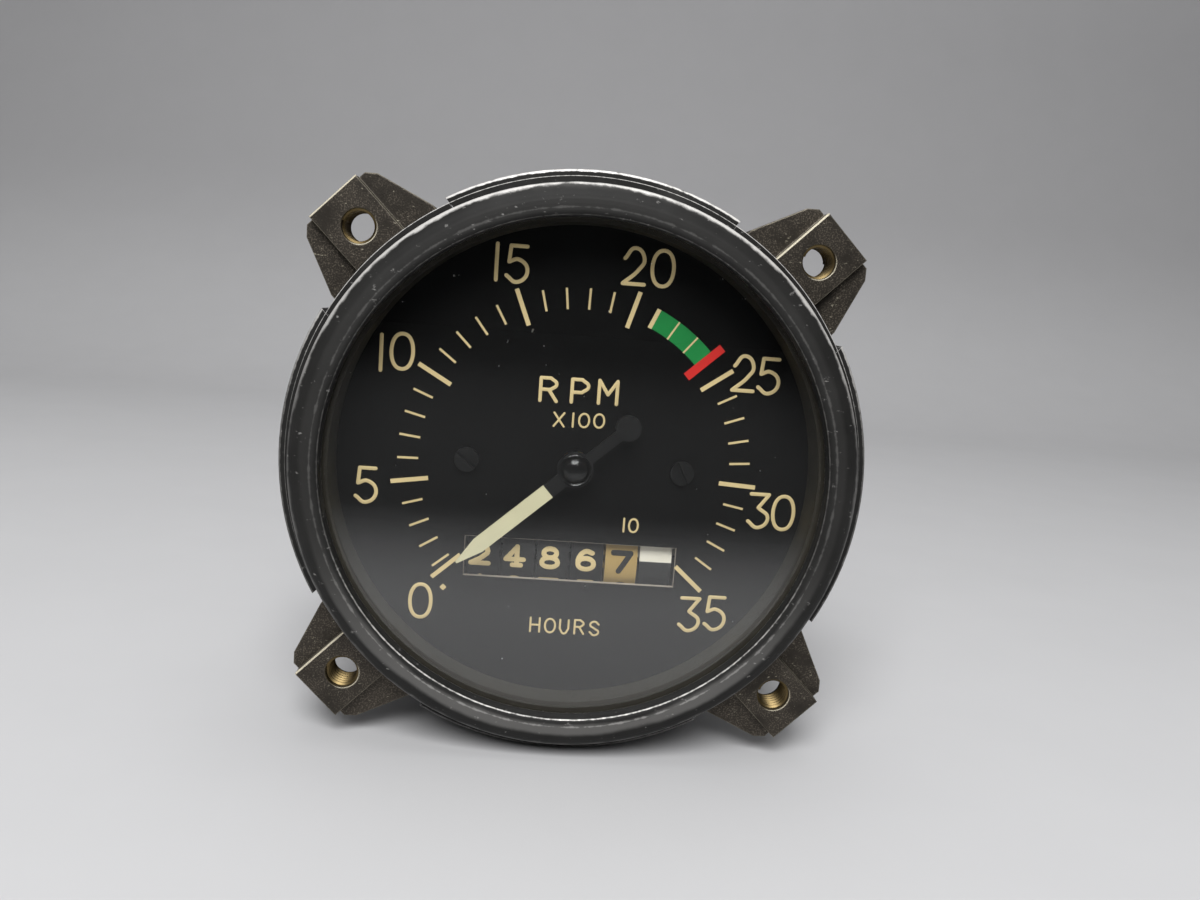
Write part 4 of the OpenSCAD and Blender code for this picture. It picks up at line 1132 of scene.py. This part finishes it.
class TACH_OT_lug_threads(Operator):
    """Winds the thread inside each lug hole"""

    bl_idname = "tach.lug_threads"
    bl_label = "Lug threads"

    def execute(self, context):
        pitch = context.scene.tach_hardware.lug_pitch
        back = back_level("mounting_ring") + 0.5 * MM
        front = -0.4 * MM
        outer = 2.37 * MM
        inner = outer - 0.36 * MM
        half = pitch * 0.36
        tip = pitch * 0.06
        profile = ((outer, back - half), (inner, back - tip), (inner, back + tip), (outer, back + half))
        shape = bmesh.new()
        for x, y in ((-1, -1), (-1, 1), (1, -1), (1, 1)):
            ridge = bmesh.new()
            wind_thread(ridge, profile, front - back, pitch, steps_per_turn=28)
            add_part(shape, ridge, Matrix.Translation((x * LUG_HOLE, y * LUG_HOLE, 0)))
        place_piece("lug_threads", shape, "thread_bronze", "case", "brass")
        return {"FINISHED"}


class TACH_OT_rear_screws(Operator):
    """Makes the slotted screws on the back of the case and of the boss"""

    bl_idname = "tach.rear_screws"
    bl_label = "Rear screws"

    first_turn = 25
    next_turn = 70

    def execute(self, context):
        sizes = context.scene.tach_hardware
        slot_width = sizes.slot_width * 1.2
        case_back = back_level("case_shell")
        plans = (
            ("frame_screws", "frame_screw_heads", case_back, 1.2 * MM),
            ("boss_screws", "boss_screw_heads", case_back - FLANGE_THICKNESS, 0.9 * MM),
        )
        for node, name, level, shank_radius in plans:
            shape = bmesh.new()
            for index, box in enumerate(solids_of(node)):
                turn = self.first_turn + self.next_turn * index
                add_screw(shape, box, level, turn, slot_width, sizes.slot_depth, shank_radius, backward=True)
            place_piece(name, shape, "screw_steel", "case", "steel", node, crease=30.0)
        return {"FINISHED"}


class TACH_OT_stage(Operator):
    """Sets the floor, the backdrop, the lamps and the camera"""

    bl_idname = "tach.stage"
    bl_label = "Stage"

    def place_sheet(self, name, shape, low_tint, high_tint):
        """A stage sheet, of one colour at the floor and another one higher up, with its finish."""
        finish = Finish(name, fine=900.0, slow=40.0)
        tint = finish.mix(finish.ramp(finish.split()["Z"], -0.035, 0.12), low_tint, high_tint)
        toned = finish.mix(finish.times(finish.tone, 0.05), tint, (0, 0, 0, 1))
        finish.give(Base_Color=toned, Roughness=0.9)
        piece = mesh_object(name, shape, name)
        return piece, finish

    def sweep(self, stage):
        """A pale floor that curves up into the backdrop."""
        shape = bmesh.new()
        level = stage.floor_level
        reach = 4.0
        height = 3.0
        bend = 0.3
        start = 0.42
        steps = 24
        spots = [(-reach, level)]
        for step in range(steps + 1):
            turn = QUARTER_TURN * step / steps
            spots.append((start + bend * math.sin(turn), level + bend * (1 - math.cos(turn))))
        spots.append((start + bend, height))
        line = [shape.verts.new((-reach, y, z)) for y, z in spots]
        edges = [shape.edges.new(pair) for pair in zip(line, line[1:])]
        made = bmesh.ops.extrude_edge_only(shape, edges=edges)
        moved = [v for v in made["geom"] if isinstance(v, bmesh.types.BMVert)]
        bmesh.ops.translate(shape, vec=(2 * reach, 0, 0), verts=moved)
        self.place_sheet("floor", shape, stage.floor_colour, stage.wall_colour)

    def cards(self, level):
        """Painted shade in front, seen only in the glass and the gloss of the paint: a lying sheet for the
        shade on the floor in front and a standing one for the unlit room in front.
        """
        painted_shade_tint = (0.02, 0.02, 0.0205, 1.0)
        lying = Matrix.Translation((0, -0.82, level + 0.3 * MM)) @ Matrix.Diagonal((1.5, 0.75, 1, 1))
        standing = Matrix.Translation((0, -1.56, level + 0.6)) @ FACE @ Matrix.Diagonal((1.5, 0.6, 1, 1))
        for name, matrix in (("floor_shade_card", lying), ("front_shade_card", standing)):
            shape = bmesh.new()
            bmesh.ops.create_grid(shape, x_segments=2, y_segments=2, size=1.0, matrix=matrix)
            card, finish = self.place_sheet(name, shape, painted_shade_tint, painted_shade_tint)
            # The painted shade on the floor fades out towards the instrument
            finish.give(Alpha=finish.ramp(finish.split()["Y"], -0.06, -0.17))
            card.visible_camera = False
            card.visible_diffuse = False
            card.visible_shadow = False

    def lamp(self, name, power, size, place, target=(0, 0, 0)):
        """A soft square lamp aimed at a point."""
        light = bpy.data.lights.new(name, "AREA")
        light.energy = power
        light.shape = "SQUARE"
        light.size = size
        holder = link_object(name, light)
        holder.location = place
        aim = Vector(target) - Vector(place)
        holder.rotation_euler = aim.to_track_quat("-Z", "Y").to_euler()

    def camera(self, lens):
        """The camera that took the photo, as fitted to it."""
        camera = bpy.data.cameras.new("photo_camera")
        camera.lens = lens
        camera.sensor_width = 36.0
        camera.sensor_fit = "HORIZONTAL"
        camera.clip_start = 0.005
        holder = link_object("photo_camera", camera)
        holder.location = (-4.754 * MM, -138.697 * MM, 24.281 * MM)
        tilt = (math.radians(81.3608), math.radians(-4.2909), math.radians(-2.6439))
        holder.rotation_euler = Euler(tilt, "XYZ")
        bpy.context.scene.camera = holder

    def execute(self, context):
        stage = context.scene.tach_stage
        self.sweep(stage)
        self.cards(stage.floor_level)
        self.lamp("key_lamp", stage.key_power, size=0.6, place=(-0.1, 0.12, 0.75))
        self.lamp("front_lamp", stage.front_power, size=0.4, place=(-0.06, -0.48, 0.48))
        self.lamp("back_lamp", stage.back_power, size=1.0, place=(0.25, 0.2, 1.2), target=(0.1, 0.6, 0.1))
        world = bpy.data.worlds.new("studio")
        world.use_nodes = True
        background = world.node_tree.nodes["Background"]
        background.inputs["Color"].default_value = (1.0, 1.0, 1.0, 1.0)
        background.inputs["Strength"].default_value = stage.world_level
        context.scene.world = world
        self.camera(stage.lens)
        context.scene.view_settings.view_transform = "Standard"
        return {"FINISHED"}


class TACH_PT_panel(Panel):
    """Lists the tachometer's operators"""

    bl_idname = "TACH_PT_panel"
    bl_label = "Tachometer"
    bl_space_type = "VIEW_3D"
    bl_region_type = "UI"
    bl_category = "Tachometer"

    def draw(self, context):
        for operator in OPERATORS:
            self.layout.operator(operator.bl_idname)


GROUPS = {
    "tach_dial": TachDial,
    "tach_hardware": TachHardware,
    "tach_colours": TachColours,
    "tach_stage": TachStage,
}
OPERATORS = (
    TACH_OT_finishes,
    TACH_OT_stage,
    TACH_OT_dial_marks,
    TACH_OT_dial_lettering,
    TACH_OT_window_edge,
    TACH_OT_dial_screws,
    TACH_OT_pointer_hub,
    TACH_OT_counter_digits,
    TACH_OT_drive_boss,
    TACH_OT_bezel_band,
    TACH_OT_lug_threads,
    TACH_OT_rear_screws,
)


def register():
    """Registers the properties, the operators and the panel."""
    for name, group in GROUPS.items():
        bpy.utils.register_class(group)
        setattr(bpy.types.Scene, name, PointerProperty(type=group))
    for operator in OPERATORS:
        bpy.utils.register_class(operator)
    bpy.utils.register_class(TACH_PT_panel)


def unregister():
    """Removes what register added."""
    bpy.utils.unregister_class(TACH_PT_panel)
    for operator in reversed(OPERATORS):
        bpy.utils.unregister_class(operator)
    for name, group in GROUPS.items():
        delattr(bpy.types.Scene, name)
        bpy.utils.unregister_class(group)


def main():
    """Builds the dressed instrument."""
    register()
    bpy.ops.tach.finishes()
    bpy.ops.tach.stage()
    bpy.ops.tach.dial_marks()
    bpy.ops.tach.dial_lettering()
    bpy.ops.tach.window_edge()
    bpy.ops.tach.dial_screws()
    bpy.ops.tach.pointer_hub()
    bpy.ops.tach.counter_digits()
    bpy.ops.tach.drive_boss()
    bpy.ops.tach.bezel_band()
    bpy.ops.tach.lug_threads()
    bpy.ops.tach.rear_screws()


if __name__ == "__main__":
    main()
